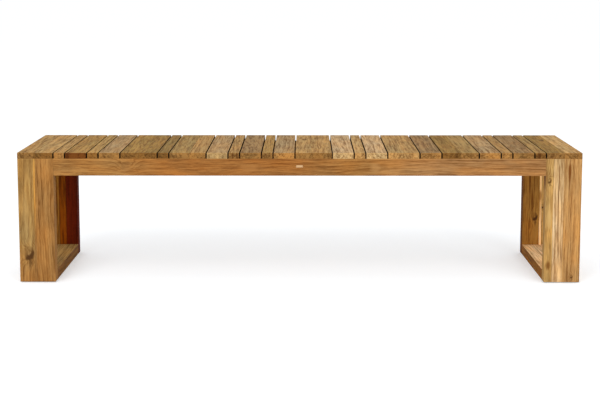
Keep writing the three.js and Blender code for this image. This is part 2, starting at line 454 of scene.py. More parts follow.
class BoardEdges(Effect):
    """Where a board's arrises have been rubbed and carry a painted highlight, from how far a point is from the board's
    sides.
    """

    name = "board_edges"
    takes = {"Low Side": "vector", "High Side": "vector", "Place": "vector", "Width": "value"}
    gives = {"Rubbed And Highlit": "value", "Soiled": "value"}

    @staticmethod
    def build(graph: Graph, given: dict[str, bpy.types.NodeSocket]) -> dict[str, bpy.types.NodeSocket]:
        """Adds the effect's nodes. The second smallest distance to a side is the distance to an arris."""
        nearest = graph.vector("MINIMUM", given["Low Side"], given["High Side"])
        split = graph.add("SeparateXYZ", {0: nearest}).outputs
        small = graph.math("MINIMUM", split[0], split[1])
        large = graph.math("MAXIMUM", split[0], split[1])
        arris = graph.math("MAXIMUM", small, graph.math("MINIMUM", large, split[2]))
        uneven = graph.noise(given["Place"], (60.0, 22.0, 60.0), 3.0, 0.6)
        reach = graph.math("MULTIPLY", given["Width"], graph.ramp(uneven, 0.25, 0.8, 0.35, 1.5))
        share = graph.math("DIVIDE", arris, reach)
        blur = graph.noise(given["Place"], (19.0, 8.0, 19.0), 2.0, 0.5)
        soil = graph.math("DIVIDE", arris, graph.math("MULTIPLY", reach, 4.0))
        return {
            "Rubbed And Highlit": graph.ramp(share, 0.2, 1.0, 1.0, 0.0),
            "Soiled": graph.math("MULTIPLY", graph.ramp(soil, 0.1, 1.0, 1.0, 0.0), graph.ramp(blur, 0.4, 0.75)),
        }


class TeakColour(Effect):
    """The colour and relief of teak, from its tone and its grain."""

    name = "teak_colour"
    takes = {
        "Tone": "colour", "Stripes": "value", "End Grain": "value",
        "Ring": "value", "Year": "value", "Knot": "value", "Heart": "value",
        "Stripe": "value", "Blotch": "value", "Mottle": "value", "Pore": "value", "Mineral": "value",
        "Fibre": "value", "Dark": "value", "Pale": "value", "Rubbed And Highlit": "value", "Soiled": "value",
        "Ring Depth": "value", "Mottling": "value", "Greying": "value", "Rub And Highlight": "value", "Cast": "colour",
    }
    gives = {"Colour": "colour", "Height": "value"}

    @staticmethod
    def build(graph: Graph, given: dict[str, bpy.types.NodeSocket]) -> dict[str, bpy.types.NodeSocket]:
        """Adds the effect's nodes."""
        tone = graph.mix(1.0, given["Tone"], given["Cast"], "MULTIPLY")
        end = given["End Grain"]
        pale = graph.mix(end, graph.tint(tone, (1.30, 1.27, 1.18)), graph.tint(tone, (1.34, 1.38, 1.40)))
        dark = graph.mix(end, graph.tint(tone, (0.50, 0.37, 0.24)), graph.tint(tone, (0.50, 0.42, 0.34)))
        colour = graph.mix(TeakColour._depth(graph, given), pale, dark)
        warmth = graph.mix(given["Blotch"], (1.08, 0.97, 0.82, 1.0), (0.94, 1.01, 1.14, 1.0))
        colour = graph.mix(1.0, colour, warmth, "MULTIPLY")
        along = graph.math("SUBTRACT", 1.0, end)
        mineral = graph.math("MULTIPLY", graph.math("MULTIPLY", given["Mineral"], along), given["Stripes"], clamp=True)
        colour = graph.mix(graph.math("MULTIPLY", mineral, 0.8), colour, graph.tint(dark, (0.62, 0.52, 0.46)))
        colour = graph.mix(given["Dark"], colour, graph.tint(dark, (0.85, 0.72, 0.62)))
        colour = graph.mix(given["Pale"], colour, graph.tint(tone, (1.34, 1.36, 1.40)))
        # A knot is a dark, ragged rim round a paler and redder heart.
        knot_dark = (0.060, 0.024, 0.008, 1.0)
        colour = graph.mix(given["Knot"], colour, graph.mix(0.25, knot_dark, dark))
        heart = graph.mix(graph.ramp(given["Fibre"], 0.42, 0.66), graph.tint(tone, (1.15, 1.15, 1.15)),
                          graph.tint(tone, (0.48, 0.34, 0.24)))
        colour = graph.mix(graph.math("MULTIPLY", given["Heart"], 0.75), colour, heart)
        # Rubbed arrises are paler, partly from wear and partly as a painted highlight, and soil gathers beside them.
        soil = graph.math("MULTIPLY", given["Soiled"], 0.28)
        colour = graph.mix(soil, colour, graph.tint(dark, (0.80, 0.78, 0.75)))
        rub_and_highlight = graph.math("MULTIPLY", given["Rubbed And Highlit"], given["Rub And Highlight"])
        colour = graph.mix(rub_and_highlight, colour, graph.tint(tone, (1.32, 1.28, 1.20)))
        grey = graph.add("RGBToBW", {0: colour}).outputs[0]
        film = graph.math("MULTIPLY", given["Greying"], graph.ramp(given["Fibre"], 0.30, 0.72, 0.5, 1.0))
        colour = graph.mix(film, colour, graph.tint(grey, (1.12, 1.0, 0.82)))
        height = graph.math("MULTIPLY", graph.math("ADD", given["Ring"], given["Fibre"]), 0.5)
        for part, depth in (("Pore", 0.7), ("Knot", 0.6)):
            height = graph.math("SUBTRACT", height, graph.math("MULTIPLY", given[part], depth))
        return {"Colour": colour, "Height": height}

    @staticmethod
    def _depth(graph: Graph, given: dict[str, bpy.types.NodeSocket]) -> bpy.types.NodeSocket:
        """How much of the dark colour the grain calls for, from 0 to 1."""
        share = graph.math("ADD", graph.math("MULTIPLY", given["Ring"], given["Ring Depth"]), 0.22)
        for part, depth in (
            ("Year", 0.22),
            ("Stripe", given["Stripes"]),
            ("Blotch", 0.22),
            ("Mottle", given["Mottling"]),
            ("Fibre", 0.45),
        ):
            swing = graph.math("MULTIPLY", graph.math("SUBTRACT", given[part], 0.5), depth)
            share = graph.math("ADD", share, swing)
        share = graph.math("ADD", share, graph.math("MULTIPLY", given["Pore"], 0.25))
        # End grain is darker, and clouded.
        spots = graph.math("ADD", graph.math("MULTIPLY", graph.math("SUBTRACT", given["Blotch"], 0.5), 0.5), 0.06)
        return graph.math("ADD", share, graph.math("MULTIPLY", given["End Grain"], spots), clamp=True)


@dataclass(frozen=True)
class TeakFinish:
    """Teak, sanded or planed, and as weathered as its place on the bench makes it.

    Args:
        name: the material's name.
        slot: the record's material slot; not used.
        rings: how dark the late wood of each ring is.
        mottling: how strongly it is mottled.
        greying: how far the surface has turned grey.
        rub_and_highlight: how much paler the arrises are, from wear and a painted highlight.
        cast: how its red, green and blue stand beside the board's own tone.
        roughness: of the plain surface.
        relief: how deep the grain stands, in metres.
    """

    name: str
    slot: str
    rings: float = 0.4
    mottling: float = 0.4
    greying: float = 0.0
    rub_and_highlight: float = 0.3
    cast: tuple[float, float, float] = (1.0, 1.0, 1.0)
    roughness: float = 0.62
    relief: float = 0.00025

    def material(self) -> bpy.types.Material:
        """The finish as a material, made once."""
        if self.name in bpy.data.materials:
            return bpy.data.materials[self.name]
        made = bpy.data.materials.new(self.name)
        made.use_nodes = True
        graph = Graph(made.node_tree)
        shader = made.node_tree.nodes["Principled BSDF"]
        place = graph.attribute("grain_place")
        end = graph.attribute("end_grain", "Fac")
        looks = {"Tone": graph.attribute("tone"), "Stripes": graph.attribute("stripes", "Fac"), "End Grain": end}
        for effect, inputs in (
            (GrowthRings, {"Place": place, "Knot A": graph.attribute("knot_a"), "Knot B": graph.attribute("knot_b"),
                           "Ring Width": 0.0058}),
            (Grain, {"Place": place}),
            (Patches, {"Place": place, **{label: graph.attribute(label) for label in PATCHES}}),
            (BoardEdges, {"Low Side": graph.attribute("low_side"), "High Side": graph.attribute("high_side"),
                          "Place": place, "Width": 0.0045}),
        ):
            outputs = graph.group(effect.tree(), inputs).outputs
            looks.update({label: outputs[label] for label in effect.gives})
        colour = graph.group(TeakColour.tree(), looks | {
            "Ring Depth": self.rings,
            "Mottling": self.mottling,
            "Greying": self.greying,
            "Rub And Highlight": self.rub_and_highlight,
            "Cast": (*self.cast, 1.0),
        }).outputs
        glue = graph.ramp(graph.attribute("glue_line", "Fac"), 0.0001, 0.0006, 1.0, 0.0)
        base = graph.mix(graph.math("MULTIPLY", glue, 0.45), colour["Colour"], (0.055, 0.027, 0.012, 1.0))
        # Painted shade with some dirt: the sides of slats that face a gap turn near black the deeper into the gap they
        # lie.
        gap_shade_and_dirt = graph.ramp(graph.attribute("gap_shade_and_dirt", "Fac"), 0.0006, 0.0040)
        base = graph.mix(graph.math("MULTIPLY", gap_shade_and_dirt, 0.93), base, (0.016, 0.008, 0.004, 1.0))
        graph.put(shader.inputs["Base Color"], base)
        rough = graph.math("ADD", self.roughness, graph.math("MULTIPLY", looks["Blotch"], 0.10))
        rough = graph.math("ADD", rough, graph.math("MULTIPLY", end, 0.12))
        rough = graph.math("SUBTRACT", rough, graph.math("MULTIPLY", looks["Rubbed And Highlit"], 0.10))
        rough = graph.math("SUBTRACT", rough, graph.math("MULTIPLY", looks["Heart"], 0.15), clamp=True)
        graph.put(shader.inputs["Roughness"], rough)
        height = graph.math("SUBTRACT", colour["Height"], glue)
        bump = graph.add("Bump", {"Height": height, "Distance": self.relief, "Strength": 1.0})
        graph.put(shader.inputs["Normal"], bump.outputs[0])
        shader.inputs["Specular IOR Level"].default_value = 0.05
        return made


SEAT_TEAK = TeakFinish("weathered teak", "seat_teak", rings=0.34, mottling=0.80, greying=0.06, rub_and_highlight=0.42,
                       cast=(0.865, 0.885, 0.79), roughness=0.68)
FRAME_TEAK = TeakFinish("sanded teak", "frame_teak", rings=0.34, mottling=0.48, cast=(0.885, 0.945, 1.02))
HIDDEN_TEAK = TeakFinish("planed teak", "hidden_teak", rings=0.5, rub_and_highlight=0.15, cast=(0.86, 0.84, 0.80), roughness=0.74)


@dataclass(frozen=True)
class PlainFinish:
    """Metal or plastic with a brushed or grained skin.

    Args:
        name: the material's name.
        slot: the record's material slot; not used.
        colour: its colour in linear light.
        worn: its colour where it is worn or marked.
        metal: 1 for a metal, or 0.
        roughness: of the clean skin.
        brushing: how many times a metre the marks change along each axis.
        relief: how deep the marks are, in metres.
    """

    name: str
    slot: str
    colour: tuple[float, float, float]
    worn: tuple[float, float, float]
    metal: float
    roughness: float
    brushing: tuple[float, float, float]
    relief: float = 0.00002

    def material(self) -> bpy.types.Material:
        """The finish as a material, made once."""
        if self.name in bpy.data.materials:
            return bpy.data.materials[self.name]
        made = bpy.data.materials.new(self.name)
        made.use_nodes = True
        graph = Graph(made.node_tree)
        shader = made.node_tree.nodes["Principled BSDF"]
        place = graph.add("TexCoord").outputs["Object"]
        marks = graph.noise(place, self.brushing, 3.0, 0.6)
        cloud = graph.noise(place, (260.0, 260.0, 260.0), 2.0, 0.5)
        wear = graph.ramp(graph.math("ADD", graph.math("MULTIPLY", marks, 0.5), graph.math("MULTIPLY", cloud, 0.5)),
                          0.42, 0.62)
        graph.put(shader.inputs["Base Color"], graph.mix(wear, (*self.colour, 1.0), (*self.worn, 1.0)))
        graph.put(shader.inputs["Roughness"], graph.math("ADD", self.roughness, graph.math("MULTIPLY", wear, 0.15)))
        bump = graph.add("Bump", {"Height": marks, "Distance": self.relief, "Strength": 1.0})
        graph.put(shader.inputs["Normal"], bump.outputs[0])
        shader.inputs["Metallic"].default_value = self.metal
        return made


SATIN_BRASS = PlainFinish("satin brass", "brass", (0.78, 0.50, 0.27), (0.70, 0.42, 0.20), 1.0, 0.34,
                          (220.0, 900.0, 5200.0))
BLACK_NYLON = PlainFinish("black nylon", "nylon", (0.020, 0.019, 0.018), (0.038, 0.036, 0.033), 0.0, 0.48,
                          (1800.0, 1800.0, 1800.0), relief=0.00004)
STAINLESS = PlainFinish("stainless steel", "stainless_screw", (0.58, 0.57, 0.55), (0.44, 0.43, 0.41), 1.0, 0.30,
                        (900.0, 900.0, 5200.0))


# ---- Modelling ----------------------------------------------------------------------------------------------------

Test = Callable[[Vector], bool]
NEARLY = 1e-5
SURFACE = 0.0006
FAR_AWAY = 50.0
JOINT_GAP = 0.0003


def start_clean() -> None:
    """Leaves nothing selected, in object mode."""
    bpy.ops.object.select_all(action="DESELECT")


def add_cube(name: str, low: Vector, high: Vector) -> bpy.types.Object:
    """A box between two corners, with its place in its mesh.

    Args:
        name: the object's name.
        low: its lowest corner.
        high: its highest corner.

    Returns:
        The new object, which is active and selected.
    """
    start_clean()
    bpy.ops.mesh.primitive_cube_add(size=1, location=(low + high) / 2)
    return settle(name, high - low)


def add_cylinder(name: str, middle: Vector, radius: float, depth: float, sides: int, axis: Axis) -> bpy.types.Object:
    """A cylinder about a middle point, with its place in its mesh.

    Args:
        name: the object's name.
        middle: its middle.
        radius: its radius.
        depth: its length.
        sides: how many sides it has.
        axis: the axis that it lies along.

    Returns:
        The new object, which is active and selected.
    """
    start_clean()
    quarter = math.pi / 2
    turn = {Axis.X: (0.0, quarter, 0.0), Axis.Y: (-quarter, 0.0, 0.0), Axis.Z: (0.0, 0.0, 0.0)}[axis]
    bpy.ops.mesh.primitive_cylinder_add(vertices=sides, radius=radius, depth=depth, location=middle, rotation=turn)
    return settle(name)


def settle(name: str, scale: Vector | None = None) -> bpy.types.Object:
    """Names the active object and moves its place, turn and scale into its mesh."""
    made = bpy.context.object
    made.name = name
    made.data.name = name
    if scale is not None:
        made.scale = scale
    bpy.ops.object.transform_apply(location=True, rotation=True, scale=True)
    return made


def select_points(piece: bpy.types.Object, test: Test) -> None:
    """Selects the points of a piece in edit mode that pass a test, and no others."""
    mesh = edit_mesh(piece)
    for kind in (mesh.verts, mesh.edges, mesh.faces):
        for part in kind:
            part.select = False
    for point in mesh.verts:
        point.select = test(point.co)
    mesh.select_mode = {"VERT"}
    mesh.select_flush_mode()
    bmesh.update_edit_mesh(piece.data)


def select_faces(piece: bpy.types.Object, test: Test) -> None:
    """Selects the faces of a piece in edit mode whose middles pass a test, and no others."""
    bpy.ops.mesh.select_mode(type="FACE")
    mesh = edit_mesh(piece)
    for kind in (mesh.verts, mesh.edges, mesh.faces):
        for part in kind:
            part.select = False
    for face in mesh.faces:
        face.select_set(test(face.calc_center_median()))
    bmesh.update_edit_mesh(piece.data)


def edit_mesh(piece: bpy.types.Object) -> bmesh.types.BMesh:
    """The mesh of a piece that is in edit mode."""
    return bmesh.from_edit_mesh(piece.data)


def cut_plane(axis: Axis, place: float) -> None:
    """Cuts all of the mesh in edit mode along a plane across an axis."""
    bpy.ops.mesh.select_all(action="SELECT")
    bpy.ops.mesh.bisect(plane_co=axis.direction * place, plane_no=axis.direction)


def apply_modifiers(piece: bpy.types.Object) -> None:
    """Applies a piece's modifiers in order."""
    bpy.context.view_layer.objects.active = piece
    for name in [modifier.name for modifier in piece.modifiers]:
        bpy.ops.object.modifier_apply(modifier=name)


def ease_edges(piece: bpy.types.Object, width: float, segments: int, sharper_than: float = 60.0) -> None:
    """Rounds a piece's sharp edges.

    Args:
        piece: the piece, in object mode.
        width: how far each edge is rounded.
        segments: how many steps each round has.
        sharper_than: the least angle between two faces that is rounded, in degrees.
    """
    bevel = piece.modifiers.new("ease", "BEVEL")
    bevel.width = width
    bevel.segments = segments
    bevel.limit_method = "ANGLE"
    bevel.angle_limit = math.radians(sharper_than)
    apply_modifiers(piece)


def smooth_flat(piece: bpy.types.Object) -> None:
    """Shades a piece smoothly and keeps its broad faces flat in the light."""
    start_clean()
    piece.select_set(True)
    bpy.context.view_layer.objects.active = piece
    bpy.ops.object.shade_smooth_by_angle(angle=math.radians(40))
    piece.modifiers.new("flat", "WEIGHTED_NORMAL").keep_sharp = True
    apply_modifiers(piece)


def finish_piece(piece: bpy.types.Object, finish: TeakFinish | PlainFinish, *nodes: str) -> None:
    """Dresses a piece and puts it on the bench's body.

    Args:
        piece: the piece.
        finish: its finish.
        nodes: the CAD nodes that it stands for.
    """
    piece.data.materials.clear()
    piece.data.materials.append(finish.material())
    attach(piece, BODY)
    if nodes:
        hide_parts(*nodes)
    LOG.info("%s: %d faces", piece.name, len(piece.data.polygons))


def write_attribute(mesh: bpy.types.Mesh, name: str, values: np.ndarray) -> None:
    """Writes one value or vector for each face corner of a mesh."""
    kind, key = ("FLOAT_VECTOR", "vector") if values.ndim == 2 else ("FLOAT", "value")
    made = mesh.attributes.new(name, kind, "CORNER")
    made.data.foreach_set(key, values.astype(np.float32).ravel())


@dataclass(frozen=True)
class Joint:
    """A tenon that stands out of a board's face, or a mortise that is sunk into it.

    Args:
        low: its lowest corner.
        high: its highest corner.
        axis: the axis across the face.
    """

    low: Vector
    high: Vector
    axis: Axis

    @classmethod
    def about(cls, middle: tuple[float, float, float], size: tuple[float, float, float], axis: Axis) -> "Joint":
        """The joint of a given middle and size."""
        half = Vector(size) / 2
        return cls(Vector(middle) - half, Vector(middle) + half, axis)

    def grown(self) -> "Joint":
        """The mortise that takes this tenon."""
        gap = Vector((JOINT_GAP,) * 3)
        return Joint(self.low - gap, self.high + gap, self.axis)

    def cut(self, piece: bpy.types.Object, low: Vector, high: Vector) -> None:
        """Makes the joint in a board, in edit mode.

        Args:
            piece: the board.
            low: the board's lowest corner.
            high: the board's highest corner.
        """
        others = [axis for axis in Axis if axis is not self.axis]
        for axis in others:
            for corner in (self.low, self.high):
                cut_plane(axis, corner[axis.value])
        across = self.axis.value
        middle = (self.low + self.high) / 2
        upper = abs(middle[across] - high[across]) < abs(middle[across] - low[across])
        face = (high if upper else low)[across]
        inside = self.low[across] if upper else self.high[across]
        outside = self.high[across] if upper else self.low[across]
        sunk = low[across] < middle[across] < high[across]
        select_faces(piece, lambda centre: abs(centre[across] - face) < SURFACE and all(
            self.low[axis.value] < centre[axis.value] < self.high[axis.value] for axis in others))
        travel = self.axis.direction * ((inside if sunk else outside) - face)
        bpy.ops.mesh.extrude_region_move(TRANSFORM_OT_translate={"value": travel})


@dataclass(frozen=True)
class Bore:
    """A round hole that a peg, a pin or a shank is driven into.

    Args:
        low: the lowest corner of what goes in.
        high: its highest corner.
        axis: the axis that it lies along.
        radius: its radius.
    """

    low: Vector
    high: Vector
    axis: Axis
    radius: float

    @classmethod
    def for_rod(cls, name: str) -> "Bore":
        """The hole for a CAD node that is a plain rod."""
        low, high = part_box(name)
        size = high - low
        axis = max(Axis, key=lambda each: size[each.value])
        return cls(low, high, axis, min(size) / 2)

    def drill(self, piece: bpy.types.Object) -> None:
        """Cuts the hole in a piece, a joint's gap wider and longer than what goes in."""
        middle = (self.low + self.high) / 2
        length = (self.high - self.low)[self.axis.value] + 2 * JOINT_GAP
        drill = add_cylinder("drill", middle, self.radius + JOINT_GAP, length, 24, self.axis)
        cut = piece.modifiers.new("bore", "BOOLEAN")
        cut.operation = "DIFFERENCE"
        cut.solver = "EXACT"
        cut.object = drill
        apply_modifiers(piece)
        bpy.data.objects.remove(drill)


@dataclass
class Board:
    """A teak board with eased arrises, glued up from one or more staves.

    Args:
        name: the piece's name, and the name of the CAD node that it stands for.
        low: its lowest corner.
        high: its highest corner.
        grain: the axis that the grain runs along.
        across: the axis that the staves lie side by side along.
        staves: from the low edge to the high one.
        finish: how it is finished.
        knots: at most two.
        patches: at most four.
        arris: how far its edges are eased, in metres.
        step: how far apart the cuts that let it be uneven are, in metres.
        uneven: how far its surface wanders, in metres.
        face_up: whether the pith lies below the high face, and not below the low one.
        gap_shade_and_dirt_sides: whether its low and its high edge are darkened by painted shade and some dirt, as
            between two slats.
        edges: the tones of its low and its high edge, where they aren't its staves' own; here they are darker tones of
            painted shade on inner edges.
        behind: the tone of its face that looks back, where it isn't its staves' own; it keeps that face free of the
            painted shade in its staves' tones.
        joints: its tenons and mortises.
        bores: the round holes in it.
    """

    name: str
    low: Vector
    high: Vector
    grain: Axis
    across: Axis
    staves: tuple[Stave, ...]
    finish: TeakFinish
    knots: tuple[Knot, ...] = ()
    patches: tuple[Patch, ...] = ()
    arris: float = 0.0011
    step: float = 0.03
    uneven: float = 0.00018
    face_up: bool = True
    gap_shade_and_dirt_sides: tuple[bool, bool] = (False, False)
    edges: tuple[Tone | None, Tone | None] = (None, None)
    behind: Tone | None = None
    joints: tuple[Joint, ...] = ()
    bores: tuple[Bore, ...] = ()
    seed: int = field(init=False)

    glue_groove = 0.0005

    def __post_init__(self) -> None:
        """Gives each board its own number, the same at each run."""
        self.seed = sum((i + 1) * ord(letter) for i, letter in enumerate(self.name))

    def make(self) -> bpy.types.Object:
        """Models and dresses the board, and puts it on the bench."""
        piece = self._shape()
        smooth_flat(piece)
        self._mark_grain(piece)
        finish_piece(piece, self.finish, self.name)
        return piece

    @property
    def _deep(self) -> Axis:
        """The axis through the board's thickness."""
        return next(axis for axis in Axis if axis not in (self.grain, self.across))

    def _stave_lines(self) -> list[float]:
        """The places of the staves' edges along the across axis, from low to high."""
        start, end = self.low[self.across.value], self.high[self.across.value]
        total = sum(stave.share for stave in self.staves)
        lines, used = [start], 0.0
        for stave in self.staves:
            used += stave.share
            lines.append(start + (end - start) * used / total)
        return lines

    def _shape(self) -> bpy.types.Object:
        """Models the board: a box, a little uneven, with eased arrises and fine grooves at its glue lines."""
        piece = add_cube(self.name + "_board", self.low, self.high)
        bpy.ops.object.mode_set(mode="EDIT")
        for axis in Axis:
            start, end = self.low[axis.value], self.high[axis.value]
            count = max(1, round((end - start) / self.step))
            for i in range(1, count):
                cut_plane(axis, start + (end - start) * i / count)
        bpy.ops.mesh.select_all(action="SELECT")
        bpy.ops.transform.vertex_random(offset=self.uneven, uniform=0.0, normal=0.0, seed=self.seed % 997)
        bpy.ops.object.mode_set(mode="OBJECT")
        ease_edges(piece, self.arris, 3)
        bpy.ops.object.mode_set(mode="EDIT")
        self._groove_glue_lines(piece)
        for joint in self.joints:
            joint.cut(piece, self.low, self.high)
        bpy.ops.object.mode_set(mode="OBJECT")
        for bore in self.bores:
            bore.drill(piece)
        return piece

    def _groove_glue_lines(self, piece: bpy.types.Object) -> None:
        """Cuts a fine groove all round the board where two staves meet."""
        for line in self._stave_lines()[1:-1]:
            for place in (line - self.glue_groove, line, line + self.glue_groove):
                cut_plane(self.across, place)
            select_points(piece, lambda point: abs(point[self.across.value] - line) < NEARLY)
            bpy.ops.transform.shrink_fatten(value=-self.glue_groove)

    def _mark_grain(self, piece: bpy.types.Object) -> None:
        """Writes where each corner of each face lies in its stave, and what it looks like there."""
        mesh = piece.data
        place, normal, centre = corner_geometry(mesh)
        deep = self._deep
        length = self.high[self.grain.value] - self.low[self.grain.value]
        along = place[:, self.grain.value] - self.low[self.grain.value]
        across = place[:, self.across.value]
        depth = self.high[deep.value] - place[:, deep.value]
        if not self.face_up:
            depth = place[:, deep.value] - self.low[deep.value]
        lines = np.array(self._stave_lines())
        which = np.clip(np.searchsorted(lines, centre[:, self.across.value]) - 1, 0, len(self.staves) - 1)
        end_grain = np.abs(normal[:, self.grain.value]) > 0.7

        draw = random.Random(self.seed)
        grain_place = np.zeros((len(place), 3))
        tone = np.zeros((len(place), 3))
        stripes = np.zeros(len(place))
        for number, stave in enumerate(self.staves):
            here = which == number
            side = draw.choice((-1.0, 1.0))
            pith = [value * draw.uniform(0.8, 1.25) for value in stave.cut.value]
            start = draw.uniform(0.0, 40.0)
            middle = (lines[number] + lines[number + 1]) / 2
            grain_place[here, 0] = across[here] - middle - side * pith[0]
            grain_place[here, 1] = along[here] + start
            grain_place[here, 2] = depth[here] + pith[1]
            tone[here] = stave.tones(along[here] / length)
            tone[here & end_grain] = stave.end.albedo
            stripes[here] = stave.stripes
        # Painted shade: a given edge tone darkens an inner edge for the shade on it, and a given tone for the face that
        # looks back keeps that face free of the painted shade in its staves' tones.
        for way, edge in zip((-1.0, 1.0), self.edges):
            if edge:
                tone[normal[:, self.across.value] * way > 0.5] = edge.albedo
        if self.behind:
            tone[normal[:, Axis.Y.value] > 0.5] = self.behind.albedo

        write_attribute(mesh, "grain_place", grain_place)
        write_attribute(mesh, "tone", tone)
        write_attribute(mesh, "low_side", place - np.array(self.low))
        write_attribute(mesh, "high_side", np.array(self.high) - place)
        write_attribute(mesh, "end_grain", end_grain.astype(float))
        write_attribute(mesh, "stripes", stripes)
        write_attribute(mesh, "glue_line", self._glue_gaps(across, lines, which))
        # Painted shade with some dirt, on the sides that face a gap between slats, stronger the deeper they lie.
        facing = normal[:, self.across.value]
        gap_shade_and_dirt = (facing < -0.9) * self.gap_shade_and_dirt_sides[0] + (facing > 0.9) * self.gap_shade_and_dirt_sides[1]
        write_attribute(mesh, "gap_shade_and_dirt", gap_shade_and_dirt * depth)
        self._mark_figure(mesh, along, across, lines, which)

    def _mark_figure(self, mesh: bpy.types.Mesh, along: np.ndarray, across: np.ndarray, lines: np.ndarray,
                     which: np.ndarray) -> None:
        """Writes how far each corner is from each knot and each patch, in knots and patches.

        Args:
            mesh: the board's mesh.
            along: each corner's place from the low end of the grain.
            across: each corner's place along the across axis.
            lines: the staves' edges.
            which: the stave that each corner is in.
        """
        for label, knot in zip(("knot_a", "knot_b"), (*self.knots, None, None)):
            offset = np.full((len(along), 3), FAR_AWAY)
            if knot:
                line = lines[0] + knot.across
                here = (lines[which] <= line) & (line <= lines[which + 1])
                offset[here, 0] = (across[here] - line) / knot.size
                offset[here, 1] = (along[here] - knot.along) / (1.35 * knot.size)
            offset[:, 2] = knot.bark if knot else 0.0
            write_attribute(mesh, label, offset)
        for label, patch in zip(PATCHES, (*self.patches, *(None for _ in PATCHES))):
            offset = np.full((len(along), 3), FAR_AWAY)
            if patch:
                line = lines[0] + patch.across
                here = (lines[which] <= line) & (line <= lines[which + 1])
                offset[here, 0] = (across[here] - line) / patch.width
                offset[here, 1] = (along[here] - patch.along) / patch.length
            offset[:, 2] = patch.depth if patch else 0.0
            write_attribute(mesh, label, offset)

    def _glue_gaps(self, across: np.ndarray, lines: np.ndarray, which: np.ndarray) -> np.ndarray:
        """How far each corner is from the nearest glue line, measured within its own stave.

        Args:
            across: each corner's place along the across axis.
            lines: the staves' edges.
            which: the stave that each corner is in.

        Returns:
            One distance for each corner, in metres.
        """
        to_low = np.where(which > 0, across - lines[which], FAR_AWAY)
        to_high = np.where(which < len(self.staves) - 1, lines[which + 1] - across, FAR_AWAY)
        return np.minimum(to_low, to_high)


def corner_geometry(mesh: bpy.types.Mesh) -> tuple[np.ndarray, np.ndarray, np.ndarray]:
    """Each face corner's place, and the normal and the middle of its face."""
    points = np.empty(len(mesh.vertices) * 3)
    mesh.vertices.foreach_get("co", points)
    corners = np.empty(len(mesh.loops), dtype=int)
    mesh.loops.foreach_get("vertex_index", corners)
    counts = np.empty(len(mesh.polygons), dtype=int)
    mesh.polygons.foreach_get("loop_total", counts)
    face = np.repeat(np.arange(len(counts)), counts)
    normals = np.empty(len(counts) * 3)
    mesh.polygons.foreach_get("normal", normals)
    centres = np.empty(len(counts) * 3)
    mesh.polygons.foreach_get("center", centres)
    return points.reshape(-1, 3)[corners], normals.reshape(-1, 3)[face], centres.reshape(-1, 3)[face]


@dataclass
class Peg(Board):
    """A round teak peg with a slightly crowned end, driven through a tenon."""

    sides = 24
    crown = 0.0004

    def _shape(self) -> bpy.types.Object:
        """Models the peg: a rod whose ends are rounded over, and crowned in the middle."""
        middle = (self.low + self.high) / 2
        length = self.high[self.grain.value] - self.low[self.grain.value]
        radius = (self.high - self.low)[self.across.value] / 2
        piece = add_cylinder(self.name + "_rod", middle, radius, length, self.sides, self.grain)
        bpy.ops.object.mode_set(mode="EDIT")
        for end, way in ((self.low, -1.0), (self.high, 1.0)):
            at = end[self.grain.value]
            select_faces(piece, lambda centre: abs(centre[self.grain.value] - at) < NEARLY)
            bpy.ops.mesh.inset(thickness=radius * 0.55)
            bpy.ops.transform.translate(value=self.grain.direction * way * self.crown)
        bpy.ops.object.mode_set(mode="OBJECT")
        ease_edges(piece, 0.0006, 2)
        return piece


# ---- The seat -----------------------------------------------------------------------------------------------------

SLAT_COUNT = 25


def slat_name(number: int) -> str:
    """The name of a slat, counted from 1 at the left."""
    return f"slat_{number:02d}"


